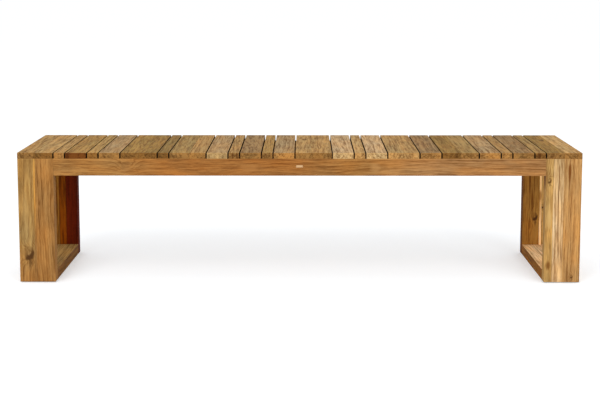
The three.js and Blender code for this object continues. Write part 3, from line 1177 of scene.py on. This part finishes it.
@dataclass
class Seat:
    """The slats that make the seat, from left to right."""

    knots: Mapping[int, tuple[Knot, ...]] = field(default_factory=lambda: {
        25: (Knot(0.319, 0.042, 0.008),),
        6: (Knot(0.14, 0.088, 0.005),),
        14: (Knot(0.33, 0.031, 0.006),),
    })
    patches: Mapping[int, tuple[Patch, ...]] = field(default_factory=lambda: {
        1: (Patch(0.10, 0.035, 0.12, 0.012, -0.35), Patch(0.32, 0.085, 0.16, 0.010, 0.25)),
        2: (Patch(0.20, 0.010, 0.18, 0.004, -0.45), Patch(0.25, 0.026, 0.20, 0.003, 0.35)),
        3: (Patch(0.0, 0.030, 0.020, 0.016, -1.0), Patch(0.0, 0.060, 0.020, 0.010, -0.7),
            Patch(0.0, 0.008, 0.020, 0.008, 0.6)),
        4: (Patch(0.22, 0.012, 0.20, 0.004, 0.35),),
        6: (Patch(0.30, 0.030, 0.10, 0.010, 0.30),),
        8: (Patch(0.0, 0.052, 0.005, 0.010, -0.9), Patch(0.25, 0.098, 0.18, 0.010, -0.25)),
        10: (Patch(0.0, 0.014, 0.005, 0.004, 0.8), Patch(0.0, 0.029, 0.005, 0.004, 0.9)),
        14: (Patch(0.12, 0.030, 0.10, 0.018, 0.20), Patch(0.30, 0.095, 0.15, 0.010, -0.30),
             Patch(0.0, 0.040, 0.006, 0.008, -0.8)),
        19: (Patch(0.25, 0.030, 0.30, 0.007, 0.30),),
        20: (Patch(0.26, 0.035, 0.30, 0.014, 0.25), Patch(0.20, 0.100, 0.20, 0.012, -0.30)),
        21: (Patch(0.16, 0.014, 0.20, 0.004, 0.40), Patch(0.20, 0.052, 0.22, 0.004, -0.40)),
        22: (Patch(0.20, 0.030, 0.22, 0.004, -0.50), Patch(0.24, 0.010, 0.20, 0.003, 0.35)),
        24: (Patch(0.12, 0.012, 0.12, 0.004, -0.45), Patch(0.32, 0.024, 0.14, 0.004, 0.40),
             Patch(0.0, 0.014, 0.005, 0.006, 0.95)),
        25: (Patch(0.18, 0.020, 0.20, 0.014, 0.20), Patch(0.25, 0.100, 0.20, 0.014, -0.30)),
    })
    looks: tuple[tuple[Stave, ...], ...] = (
        (Stave(0.47, Tone.HONEY, Tone.CHESTNUT), Stave(0.53, Tone.STRAW, Tone.BARK)),
        (Stave(1.0, Tone.HONEY, Tone.AMBER, stripes=0.8),),
        (Stave(1.0, Tone.OCHRE, Tone.WALNUT, shade=0.94),),
        (Stave(1.0, Tone.KHAKI, Tone.BARK, stripes=0.7, shade=1.22),),
        (Stave(1.0, Tone.ROSE, Tone.CHESTNUT, shade=0.93),),
        (Stave(0.5, Tone.OLIVE, Tone.BARK, shade=1.12), Stave(0.5, Tone.OLIVE, Tone.BARK)),
        (Stave(1.0, Tone.MOSS, Tone.BARK),),
        (Stave(0.55, Tone.KHAKI, Tone.CHESTNUT), Stave(0.45, Tone.HONEY, Tone.CHESTNUT)),
        (Stave(1.0, Tone.ROSE, Tone.WHEAT),),
        (Stave(1.0, Tone.HONEY, Tone.CHESTNUT),),
        (Stave(1.0, Tone.ASH, Tone.CHESTNUT),),
        (Stave(1.0, Tone.OCHRE, Tone.CHESTNUT),),
        (Stave(1.0, Tone.ROSE, Tone.AMBER, shade=0.92),),
        (Stave(0.43, Tone.STRAW, Tone.CHESTNUT), Stave(0.57, Tone.HONEY, Tone.CHESTNUT, shade=1.05)),
        (Stave(1.0, Tone.BLUSH, Tone.CREAM),),
        (Stave(1.0, Tone.WHEAT, Tone.CARAMEL),),
        (Stave(1.0, Tone.BLUSH, Tone.CREAM),),
        (Stave(0.5, Tone.STRAW, Tone.CARAMEL, shade=0.96), Stave(0.5, Tone.HONEY, Tone.CARAMEL, shade=1.06)),
        (Stave(1.0, Tone.ASH, Tone.AMBER),),
        (Stave(0.5, Tone.OLIVE, Tone.BARK), Stave(0.5, Tone.KHAKI, Tone.CHESTNUT)),
        (Stave(1.0, Tone.ROSE, Tone.AMBER, stripes=0.8),),
        (Stave(1.0, Tone.HONEY, Tone.AMBER, stripes=0.8, shade=0.95),),
        (Stave(1.0, Tone.ASH, Tone.CHESTNUT),),
        (Stave(1.0, Tone.KHAKI, Tone.BARK, stripes=0.8),),
        (Stave(0.5, Tone.OLIVE, Tone.CHESTNUT), Stave(0.5, Tone.WHEAT, Tone.CHESTNUT, shade=1.06)),
    )

    def make(self) -> None:
        """Makes the slats."""
        for number, staves in enumerate(self.looks, start=1):
            name = slat_name(number)
            low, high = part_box(name)
            Board(
                name, low, high, Axis.Y, Axis.X, staves, SEAT_TEAK,
                knots=self.knots.get(number, ()), patches=self.patches.get(number, ()),
                gap_shade_and_dirt_sides=(number > 1, number < SLAT_COUNT),
            ).make()


# ---- The end frames -----------------------------------------------------------------------------------------------


@dataclass(frozen=True)
class Look:
    """What a board of the frame is glued up from.

    Args:
        staves: from its low edge to its high one.
        knots: at most two.
        patches: at most four.
        edges: the tones of its low and its high edge, where they aren't its staves' own; here they are darker tones of
            painted shade on inner edges.
        behind: the tone of its face that looks back, where it isn't its staves' own; it keeps that face free of the
            painted shade in its staves' tones.
    """

    staves: tuple[Stave, ...]
    knots: tuple[Knot, ...] = ()
    patches: tuple[Patch, ...] = ()
    edges: tuple[Tone | None, Tone | None] = (None, None)
    behind: Tone | None = None

    def board(self, name: str, low: Vector, high: Vector, grain: Axis, across: Axis, finish: TeakFinish,
              **options: object) -> Board:
        """A board of this look. The options are more of the board's own fields."""
        return Board(name, low, high, grain, across, self.staves, finish, self.knots, self.patches,
                     edges=self.edges, behind=self.behind, **options)


@dataclass(frozen=True)
class Joinery:
    """The bench's mortise and tenon joints, worked out from the CAD boxes. Lengths are in metres.

    Args:
        apron: an apron tenon's thickness and height.
        rail: a runner's or top rail's tenon width and thickness.
        rail_from_outside: how far the middle of that tenon is from the bench's end.
        bearer: a bearer tenon's width and thickness.
        centre: a centre rail tenon's width and thickness.
    """

    apron: tuple[float, float] = (0.012, 0.048)
    rail: tuple[float, float] = (0.064, 0.014)
    rail_from_outside: float = 0.048
    bearer: tuple[float, float] = (0.028, 0.014)
    centre: tuple[float, float] = (0.036, 0.012)

    def apron_tenon(self, face: str, side: str) -> Joint:
        """The tenon at one end of an apron."""
        low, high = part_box(f"{face}_apron")
        shoulder = shoulders()[0]
        length = high.x - shoulder
        sign = SIGN[side]
        middle = (sign * (shoulder + length / 2), (low.y + high.y) / 2, (low.z + high.z) / 2)
        return Joint.about(middle, (length, *self.apron), Axis.X)

    def rail_tenon(self, part: str, face: str, side: str) -> Joint:
        """The tenon at one end of a runner or top rail."""
        low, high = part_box(f"{side}_{part}")
        shoulder = shoulders()[1]
        length = high.y - shoulder
        x = SIGN[side] * (CAD_BOX[1].x - self.rail_from_outside)
        middle = (x, SIGN[face] * (shoulder + length / 2), (low.z + high.z) / 2)
        return Joint.about(middle, (self.rail[0], length, self.rail[1]), Axis.Y)

    def bearer_tenon(self, place: str, face: str) -> Joint:
        """The tenon at one end of a bearer."""
        low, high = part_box(f"{place}_bearer")
        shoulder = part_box("back_apron")[0].y - JOINT_GAP
        length = high.y - shoulder
        middle = ((low.x + high.x) / 2, SIGN[face] * (shoulder + length / 2), (low.z + high.z) / 2)
        return Joint.about(middle, (self.bearer[0], length, self.bearer[1]), Axis.Y)

    def centre_tenon(self, side: str) -> Joint:
        """The tenon at one end of the centre rail."""
        low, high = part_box("centre_rail")
        shoulder = shoulders()[0]
        length = high.x - shoulder
        middle = (SIGN[side] * (shoulder + length / 2), (low.y + high.y) / 2, (low.z + high.z) / 2)
        return Joint.about(middle, (length, *self.centre), Axis.X)


SIDES = ("left", "right")
FACES = ("front", "back")
SIGN = {"left": -1.0, "right": 1.0, "front": -1.0, "back": 1.0}
JOINERY = Joinery()


def shoulders() -> tuple[float, float]:
    """How far the shoulders of the boards between the posts are from the middle, along X and along Y."""
    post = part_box("back_right_post")[0]
    return post.x - JOINT_GAP, post.y - JOINT_GAP


@dataclass
class EndFrame:
    """One closed loop of wide boards under an end of the seat.

    Args:
        side: left or right.
        front: the look of the front post.
        back: the look of the back post.
        runner: the look of the runner.
        top_rail: the look of the top rail.
    """

    side: str
    front: Look
    back: Look
    runner: Look
    top_rail: Look

    pegged = ("apron", "runner", "top_rail")
    shank = 0.1

    def make(self) -> None:
        """Makes the posts, the runner, the top rail, the pegs and the glides."""
        for face, look in (("front", self.front), ("back", self.back)):
            name = f"{face}_{self.side}_post"
            mortises = (
                JOINERY.apron_tenon(face, self.side).grown(),
                JOINERY.rail_tenon("runner", face, self.side).grown(),
                JOINERY.rail_tenon("top_rail", face, self.side).grown(),
            )
            bores = tuple(Bore.for_rod(f"{face}_{self.side}_{part}_peg") for part in self.pegged)
            look.board(name, *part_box(name), Axis.Z, Axis.X, FRAME_TEAK, face_up=face == "back", joints=mortises,
                       bores=bores).make()
        reach = shoulders()[1]
        for part, look, finish in (("runner", self.runner, FRAME_TEAK), ("top_rail", self.top_rail, HIDDEN_TEAK)):
            name = f"{self.side}_{part}"
            low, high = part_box(name)
            low.y, high.y = -reach, reach
            joints = [JOINERY.rail_tenon(part, face, self.side) for face in FACES]
            bores = [Bore.for_rod(f"{face}_{self.side}_{part}_peg") for face in FACES]
            if part == "top_rail":
                joints.append(JOINERY.centre_tenon(self.side).grown())
            else:
                bores += [self._shank_hole(f"{face}_{self.side}_glide") for face in FACES]
            look.board(name, low, high, Axis.Y, Axis.X, finish, joints=tuple(joints), bores=tuple(bores)).make()
        for face in FACES:
            for part in self.pegged:
                name = f"{face}_{self.side}_{part}_peg"
                axis = Bore.for_rod(name).axis
                Peg(name, *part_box(name), axis, Axis.X, (Stave(1.0, Tone.AMBER, Tone.CHESTNUT),), HIDDEN_TEAK).make()
            self._make_glide(f"{face}_{self.side}_glide")

    def _shank_hole(self, name: str) -> Bore:
        """The hole in the runner for a glide's shank."""
        low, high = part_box(name)
        low.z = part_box(f"{self.side}_runner")[0].z
        return Bore(low, high, Axis.Z, (high.x - low.x) / 2 * self.shank)

    def _make_glide(self, name: str) -> None:
        """Makes a glide: a rounded nylon foot on a nail-like shank."""
        low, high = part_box(name)
        post_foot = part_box(f"front_{self.side}_post")[0].z
        thickness = post_foot - low.z
        radius = (high.x - low.x) / 2
        middle = Vector(((low.x + high.x) / 2, (low.y + high.y) / 2, low.z + thickness / 2))
        piece = add_cylinder(name + "_foot", middle, radius, thickness, 40, Axis.Z)
        bpy.ops.object.mode_set(mode="EDIT")
        # The shank, which narrows to a point.
        select_faces(piece, lambda centre: abs(centre.z - post_foot) < NEARLY)
        bpy.ops.mesh.inset(thickness=radius * (1 - self.shank))
        shank = high.z - post_foot
        for rise, scale in ((shank * 0.8, 1.0), (shank * 0.2, 0.15)):
            bpy.ops.mesh.extrude_region_move(TRANSFORM_OT_translate={"value": (0.0, 0.0, rise)})
            bpy.ops.transform.resize(value=(scale, scale, 1.0))
        # A shallow dish in the sole.
        select_faces(piece, lambda centre: abs(centre.z - low.z) < NEARLY)
        bpy.ops.mesh.inset(thickness=radius * 0.55)
        bpy.ops.mesh.extrude_region_move(TRANSFORM_OT_translate={"value": (0.0, 0.0, 0.0006)})
        bpy.ops.transform.resize(value=(0.8, 0.8, 1.0))
        bpy.ops.object.mode_set(mode="OBJECT")
        ease_edges(piece, 0.0006, 3, sharper_than=40.0)
        smooth_flat(piece)
        finish_piece(piece, BLACK_NYLON, name)


# ---- The seat frame -----------------------------------------------------------------------------------------------


@dataclass
class SeatFrame:
    """The aprons that join the end frames, and the rails and bearers that carry the slats between them.

    Args:
        front: the look of the front apron.
        back: the look of the back apron.
    """

    front: Look
    back: Look
    rail: Look = Look((Stave(1.0, Tone.CHESTNUT, Tone.BARK),))
    bearer: Look = Look((Stave(1.0, Tone.AMBER, Tone.CHESTNUT),))

    def make(self) -> None:
        """Makes the aprons, the ledgers, the centre rail and the bearers."""
        inner = shoulders()[0]
        places = ("left", "middle", "right")
        for face, look in (("front", self.front), ("back", self.back)):
            name = f"{face}_apron"
            low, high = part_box(name)
            low.x, high.x = -inner, inner
            joints = [JOINERY.apron_tenon(face, side) for side in SIDES]
            joints += [JOINERY.bearer_tenon(place, face).grown() for place in places]
            bores = [Bore.for_rod(f"{face}_{side}_apron_peg") for side in SIDES]
            if face == "front":
                joints.append(Joint(*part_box("front_plate"), Axis.Y).grown())
                bores += [Bore.for_rod(f"{side}_plate_pin") for side in SIDES]
            look.board(name, low, high, Axis.X, Axis.Z, FRAME_TEAK, face_up=face == "back", joints=tuple(joints),
                       bores=tuple(bores)).make()
            name = f"{face}_ledger"
            self.rail.board(name, *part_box(name), Axis.X, Axis.Z, HIDDEN_TEAK).make()
        low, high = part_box("centre_rail")
        low.x, high.x = -inner, inner
        tenons = tuple(JOINERY.centre_tenon(side) for side in SIDES)
        self.rail.board("centre_rail", low, high, Axis.X, Axis.Y, HIDDEN_TEAK, joints=tenons).make()
        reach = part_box("back_apron")[0].y - JOINT_GAP
        for place in places:
            name = f"{place}_bearer"
            low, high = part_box(name)
            low.y, high.y = -reach, reach
            tenons = tuple(JOINERY.bearer_tenon(place, face) for face in FACES)
            self.bearer.board(name, low, high, Axis.Y, Axis.X, HIDDEN_TEAK, joints=tenons).make()


@dataclass
class Plate:
    """The small blank plate let in to the front apron, on two domed pins."""

    corner: float = 0.0012
    rim: float = 0.0004

    def make(self) -> None:
        """Makes the plate and its pins."""
        low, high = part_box("front_plate")
        piece = add_cube("front_plate_blank", low, high)
        bpy.ops.object.mode_set(mode="EDIT")
        bpy.ops.mesh.select_mode(type="EDGE")
        mesh = edit_mesh(piece)
        for edge in mesh.edges:
            ends = [point.co for point in edge.verts]
            edge.select_set(abs(ends[0].y - ends[1].y) > NEARLY)
        bmesh.update_edit_mesh(piece.data)
        bpy.ops.mesh.bevel(offset=self.corner, segments=5, affect="EDGES")
        # A raised rim round a field that is sunk by a hair.
        select_faces(piece, lambda centre: abs(centre.y - low.y) < NEARLY)
        bpy.ops.mesh.inset(thickness=self.rim * 2)
        bpy.ops.mesh.extrude_region_move(TRANSFORM_OT_translate={"value": (0.0, self.rim / 2, 0.0)})
        bpy.ops.object.mode_set(mode="OBJECT")
        ease_edges(piece, 0.00015, 2)
        for side in SIDES:
            Bore.for_rod(f"{side}_plate_pin").drill(piece)
        smooth_flat(piece)
        finish_piece(piece, SATIN_BRASS, "front_plate")
        for side in ("left", "right"):
            self._make_pin(f"{side}_plate_pin")

    def _make_pin(self, name: str) -> None:
        """Makes a pin with a low domed head."""
        low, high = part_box(name)
        middle = (low + high) / 2
        radius = (high.x - low.x) / 2
        piece = add_cylinder(name + "_rivet", middle, radius, high.y - low.y, 20, Axis.Y)
        bpy.ops.object.mode_set(mode="EDIT")
        select_faces(piece, lambda centre: abs(centre.y - low.y) < NEARLY)
        for width, rise in ((0.25, 0.00020), (0.35, 0.00012)):
            bpy.ops.mesh.inset(thickness=radius * width)
            bpy.ops.transform.translate(value=(0.0, -rise, 0.0))
        # The far end is pointed.
        select_faces(piece, lambda centre: abs(centre.y - high.y) < NEARLY)
        bpy.ops.mesh.inset(thickness=radius * 0.5)
        bpy.ops.mesh.select_mode(type="FACE")
        bpy.ops.transform.translate(value=(0.0, 0.0003, 0.0))
        bpy.ops.object.mode_set(mode="OBJECT")
        smooth_flat(piece)
        finish_piece(piece, SATIN_BRASS, name)


# ---- Screws -------------------------------------------------------------------------------------------------------


@dataclass
class Screws:
    """Stainless pan-head screws that hold the slats, driven up through the rails under them."""

    head: float = 0.0040
    rise: float = 0.0022
    shank: float = 0.0019
    length: float = 0.040
    sides: int = 12

    def make(self) -> None:
        """Makes a row of screws in each rail."""
        pattern = self._model()
        for rail in ("front_ledger", "centre_rail", "back_ledger"):
            low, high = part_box(rail)
            line = (low.y + high.y) / 2
            self._row(f"{rail}_screws", pattern, [(x, line, low.z) for x in self._between_bearers()])
        for side in ("left", "right"):
            low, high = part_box(f"{side}_top_rail")
            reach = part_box(f"back_{side}_post")[0].y * 0.8
            spots = [(low.x + (high.x - low.x) * share, y, low.z) for share in (0.22, 0.78) for y in (-reach, 0, reach)]
            self._row(f"{side}_top_rail_screws", pattern, spots)
        bpy.data.objects.remove(pattern)

    def _between_bearers(self) -> list[float]:
        """Where the screws go along a rail: one in a narrow slat and two in a wide one, clear of the bearers."""
        bearers = [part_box(f"{place}_bearer") for place in ("left", "middle", "right")]
        found = []
        for number in range(2, SLAT_COUNT):
            low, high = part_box(slat_name(number))
            shares = (0.5,) if high.x - low.x < 0.05 else (0.25, 0.75)
            for share in shares:
                x = low.x + (high.x - low.x) * share
                if all(not box[0].x - self.head * 2 < x < box[1].x + self.head * 2 for box in bearers):
                    found.append(x)
        return found

    def _model(self) -> bpy.types.Object:
        """Models one screw at the origin, head down: a rounded head with a six-lobed socket, and a shank."""
        piece = add_cylinder("screw", Vector((0.0, 0.0, -self.rise / 2)), self.head, self.rise, self.sides, Axis.Z)
        bpy.ops.object.mode_set(mode="EDIT")
        select_faces(piece, lambda centre: abs(centre.z + self.rise) < NEARLY)
        bpy.ops.mesh.inset(thickness=self.head * 0.22)
        bpy.ops.transform.translate(value=(0.0, 0.0, -self.rise * 0.18))
        bpy.ops.mesh.inset(thickness=self.head * 0.30)
        socket = edit_mesh(piece)
        ring = next(face for face in socket.faces if face.select and len(face.verts) == self.sides)
        for i, point in enumerate(ring.verts):
            scale = 0.72 if i % 2 else 1.0
            point.co.x *= scale
            point.co.y *= scale
        bmesh.update_edit_mesh(piece.data)
        bpy.ops.mesh.extrude_region_move(TRANSFORM_OT_translate={"value": (0.0, 0.0, self.rise * 0.6)})
        select_faces(piece, lambda centre: abs(centre.z) < NEARLY)
        bpy.ops.mesh.inset(thickness=self.head - self.shank)
        for rise, scale in ((self.length * 0.85, 0.9), (self.length * 0.15, 0.1)):
            bpy.ops.mesh.extrude_region_move(TRANSFORM_OT_translate={"value": (0.0, 0.0, rise)})
            bpy.ops.transform.resize(value=(scale, scale, 1.0))
        bpy.ops.object.mode_set(mode="OBJECT")
        ease_edges(piece, 0.0003, 1, sharper_than=50.0)
        return piece

    def _row(self, name: str, pattern: bpy.types.Object, spots: list[tuple[float, float, float]]) -> None:
        """Copies the screw to each spot and joins the copies into one piece.

        Args:
            name: the piece's name.
            pattern: the screw at the origin.
            spots: where the underside of each head goes.
        """
        copies = []
        for number, spot in enumerate(spots):
            copy = pattern.copy()
            copy.data = pattern.data.copy()
            bpy.context.scene.collection.objects.link(copy)
            copy.matrix_world = Matrix.Translation(spot) @ Matrix.Rotation(number * 1.1, 4, "Z")
            copies.append(copy)
        start_clean()
        for copy in copies:
            copy.select_set(True)
        bpy.context.view_layer.objects.active = copies[0]
        bpy.ops.object.join()
        bpy.ops.object.transform_apply(location=True, rotation=True, scale=True)
        piece = bpy.context.object
        piece.name = name
        bpy.ops.object.shade_smooth_by_angle(angle=math.radians(35))
        finish_piece(piece, STAINLESS)


# ---- The studio ---------------------------------------------------------------------------------------------------


@dataclass
class Studio:
    """A white floor, soft light and the camera."""

    floor_size: float = 600.0
    distance: float = 3.974
    height: float = 1.097
    aside: float = 0.017
    pitch: float = 6.30
    turn: float = 0.22
    lens: float = 68.23
    shift: float = -1 / 6

    def make(self) -> None:
        """Makes the studio."""
        self._camera()
        self._floor()
        self._world()
        self._lights()
        view = bpy.context.scene.view_settings
        view.view_transform = "Standard"
        view.look = "None"

    def _camera(self) -> None:
        """The camera, in front of the bench and a little above it."""
        low, _ = CAD_BOX
        data = bpy.data.cameras.new("camera")
        data.lens = self.lens
        data.shift_y = self.shift
        made = bpy.data.objects.new("camera", data)
        bpy.context.scene.collection.objects.link(made)
        made.location = (self.aside, low.y - self.distance, self.height)
        made.rotation_euler = (math.radians(90 - self.pitch), 0.0, math.radians(self.turn))
        bpy.context.scene.camera = made

    def _floor(self) -> None:
        """A wide white floor."""
        start_clean()
        bpy.ops.mesh.primitive_plane_add(size=self.floor_size, location=(0.0, 0.0, 0.0))
        floor = bpy.context.object
        floor.name = "floor"
        made = bpy.data.materials.new("floor_white")
        made.use_nodes = True
        graph = Graph(made.node_tree)
        shader = made.node_tree.nodes["Principled BSDF"]
        shader.inputs["Base Color"].default_value = (0.775, 0.80, 0.825, 1.0)
        shader.inputs["Roughness"].default_value = 1.0
        shader.inputs["Specular IOR Level"].default_value = 0.0
        shader.inputs["Emission Color"].default_value = (1.0, 1.0, 1.0, 1.0)
        seen = graph.add("LightPath").outputs["Is Camera Ray"]
        graph.put(shader.inputs["Emission Strength"], graph.math("MULTIPLY", seen, 0.34))
        floor.data.materials.append(made)

    def _world(self) -> None:
        """An even white sky, which lights the bench less than it shows."""
        world = bpy.data.worlds.new("studio")
        bpy.context.scene.world = world
        world.use_nodes = True
        graph = Graph(world.node_tree)
        sky = world.node_tree.nodes["Background"]
        sky.inputs["Color"].default_value = (1.0, 1.0, 1.0, 1.0)
        seen = graph.add("LightPath").outputs["Is Camera Ray"]
        graph.put(sky.inputs["Strength"], graph.ramp(seen, 0.0, 1.0, 0.85, 1.0))

    def _lights(self) -> None:
        """Two large soft boxes, over the front and to each side."""
        for name, place, size, power in (
            ("key", (-1.6, -3.2, 3.4), 2.6, 70.0),
            ("fill", (2.4, -3.4, 2.6), 2.6, 45.0),
        ):
            data = bpy.data.lights.new(name, "AREA")
            data.shape = "SQUARE"
            data.size = size
            data.energy = power
            made = bpy.data.objects.new(name, data)
            bpy.context.scene.collection.objects.link(made)
            made.location = place
            made.rotation_euler = (Vector((0.0, 0.0, 0.3)) - Vector(place)).to_track_quat("-Z", "Y").to_euler()


LEFT_END = EndFrame(
    "left",
    front=Look(
        (
            Stave(0.435, Tone.AMBER, between=(Tone.OCHRE, Tone.OCHRE), far=Tone.OCHRE, stripes=0.55),
            Stave(0.055, Tone.AMBER, between=(Tone.AMBER, Tone.GOLD), far=Tone.GOLD, stripes=0.1),
            Stave(0.51, Tone.AMBER, stripes=0.3, shade=0.97),
        ),
        knots=(Knot(0.104, 0.034, 0.0125, 1.0),),
        patches=(
            Patch(0.24, 0.026, 0.10, 0.012, -0.40),
            Patch(0.42, 0.020, 0.08, 0.018, 0.22),
            Patch(0.285, 0.075, 0.012, 0.004, 0.5),
            Patch(0.088, 0.044, 0.045, 0.014, 0.55),
        ),
    ),
    # Painted shade: the umber, rust and maroon tones of this post's face that looks forward and of its inner edge stand
    # for the shade inside the frame; its face that looks back is copper.
    back=Look(
        (Stave(0.44, Tone.UMBER), Stave(0.21, Tone.RUST, stripes=0.8), Stave(0.35, Tone.MAROON, stripes=1.0)),
        patches=(
            Patch(0.34, 0.040, 0.08, 0.004, 1.0),
            Patch(0.20, 0.046, 0.10, 0.003, 1.0),
            Patch(0.11, 0.090, 0.08, 0.014, -0.6),
            Patch(0.26, 0.074, 0.05, 0.005, 0.7),
        ),
        edges=(None, Tone.MAROON),
        behind=Tone.COPPER,
    ),
    # Painted shade: the runner's inner edge is given bark for the shade on it.
    runner=Look((Stave(0.6, Tone.KHAKI, shade=1.2), Stave(0.4, Tone.OCHRE, shade=1.1)), edges=(None, Tone.BARK)),
    top_rail=Look((Stave(0.5, Tone.CHESTNUT), Stave(0.5, Tone.AMBER))),
)
RIGHT_END = EndFrame(
    "right",
    front=Look(
        (
            Stave(0.21, Tone.SAND, stripes=0.6, shade=1.06),
            Stave(0.29, Tone.IVORY, between=(Tone.IVORY,), far=Tone.WHEAT, stripes=1.15, shade=1.06),
            Stave(0.50, Tone.CARAMEL),
        ),
        knots=(Knot(0.368, 0.012, 0.005, 0.9), Knot(0.021, 0.098, 0.0035, 0.9)),
        patches=(
            Patch(0.40, 0.084, 0.050, 0.0065, 1.3),
            Patch(0.235, 0.014, 0.042, 0.010, -0.8),
            Patch(0.375, 0.002, 0.045, 0.004, 0.9),
            Patch(0.060, 0.014, 0.020, 0.010, 0.9),
        ),
    ),
    back=Look(
        (
            Stave(0.51, Tone.TOFFEE, stripes=0.7, shade=0.92),
            Stave(
                0.07, Tone.IVORY, between=(Tone.IVORY, Tone.SAND, Tone.CREAM), far=Tone.TOFFEE, stripes=0.1, shade=2.0,
            ),
            Stave(0.42, Tone.SAND, shade=1.1),
        ),
        knots=(Knot(0.150, 0.048, 0.008, 1.0), Knot(0.192, 0.078, 0.005, 1.0)),
        patches=(
            Patch(0.31, 0.026, 0.09, 0.004, 0.9),
            Patch(0.22, 0.036, 0.05, 0.004, 0.8),
            Patch(0.12, 0.028, 0.03, 0.005, 0.6),
            Patch(0.23, 0.069, 0.030, 0.006, 0.8),
        ),
        # Painted shade: the post's inner edge is given walnut for the shade on it.
        edges=(Tone.WALNUT, None),
    ),
    # Painted light and shade: the runner's very pale ivory tone is partly painted light, for the light that falls on
    # its top, and its inner edge is umber for painted shade.
    runner=Look((Stave(0.5, Tone.IVORY, shade=1.4), Stave(0.5, Tone.IVORY, shade=1.4)), edges=(Tone.UMBER, None)),
    top_rail=Look((Stave(0.4, Tone.AMBER), Stave(0.6, Tone.CHESTNUT))),
)
SEAT_FRAME = SeatFrame(
    front=Look(
        (
            Stave(
                1.0, Tone.AMBER, far=Tone.TAN, stripes=0.4, shade=0.95,
                between=(Tone.AMBER, Tone.COPPER, Tone.COPPER, Tone.COPPER, Tone.AMBER, Tone.TAN, Tone.TAN),
            ),
        ),
        knots=(Knot(0.262, 0.034, 0.011, 0.32),),
        patches=(
            Patch(0.695, 0.030, 0.035, 0.018, -0.55),
            Patch(1.14, 0.030, 0.022, 0.016, -0.60),
            Patch(1.14, 0.001, 0.05, 0.002, 0.9),
            Patch(0.255, 0.028, 0.020, 0.013, -0.55),
        ),
    ),
    back=Look(
        (Stave(1.0, Tone.COPPER, stripes=0.6),),
        knots=(Knot(1.21, 0.030, 0.008),),
        patches=(Patch(0.52, 0.030, 0.06, 0.012, -0.35),),
    ),
)


def main() -> None:
    """Builds the studio and the bench."""
    logging.basicConfig(level=logging.INFO, format="%(name)s: %(message)s")
    Studio().make()
    for part in (Seat(), LEFT_END, RIGHT_END, SEAT_FRAME, Plate(), Screws()):
        part.make()


if __name__ == "__main__":
    main()
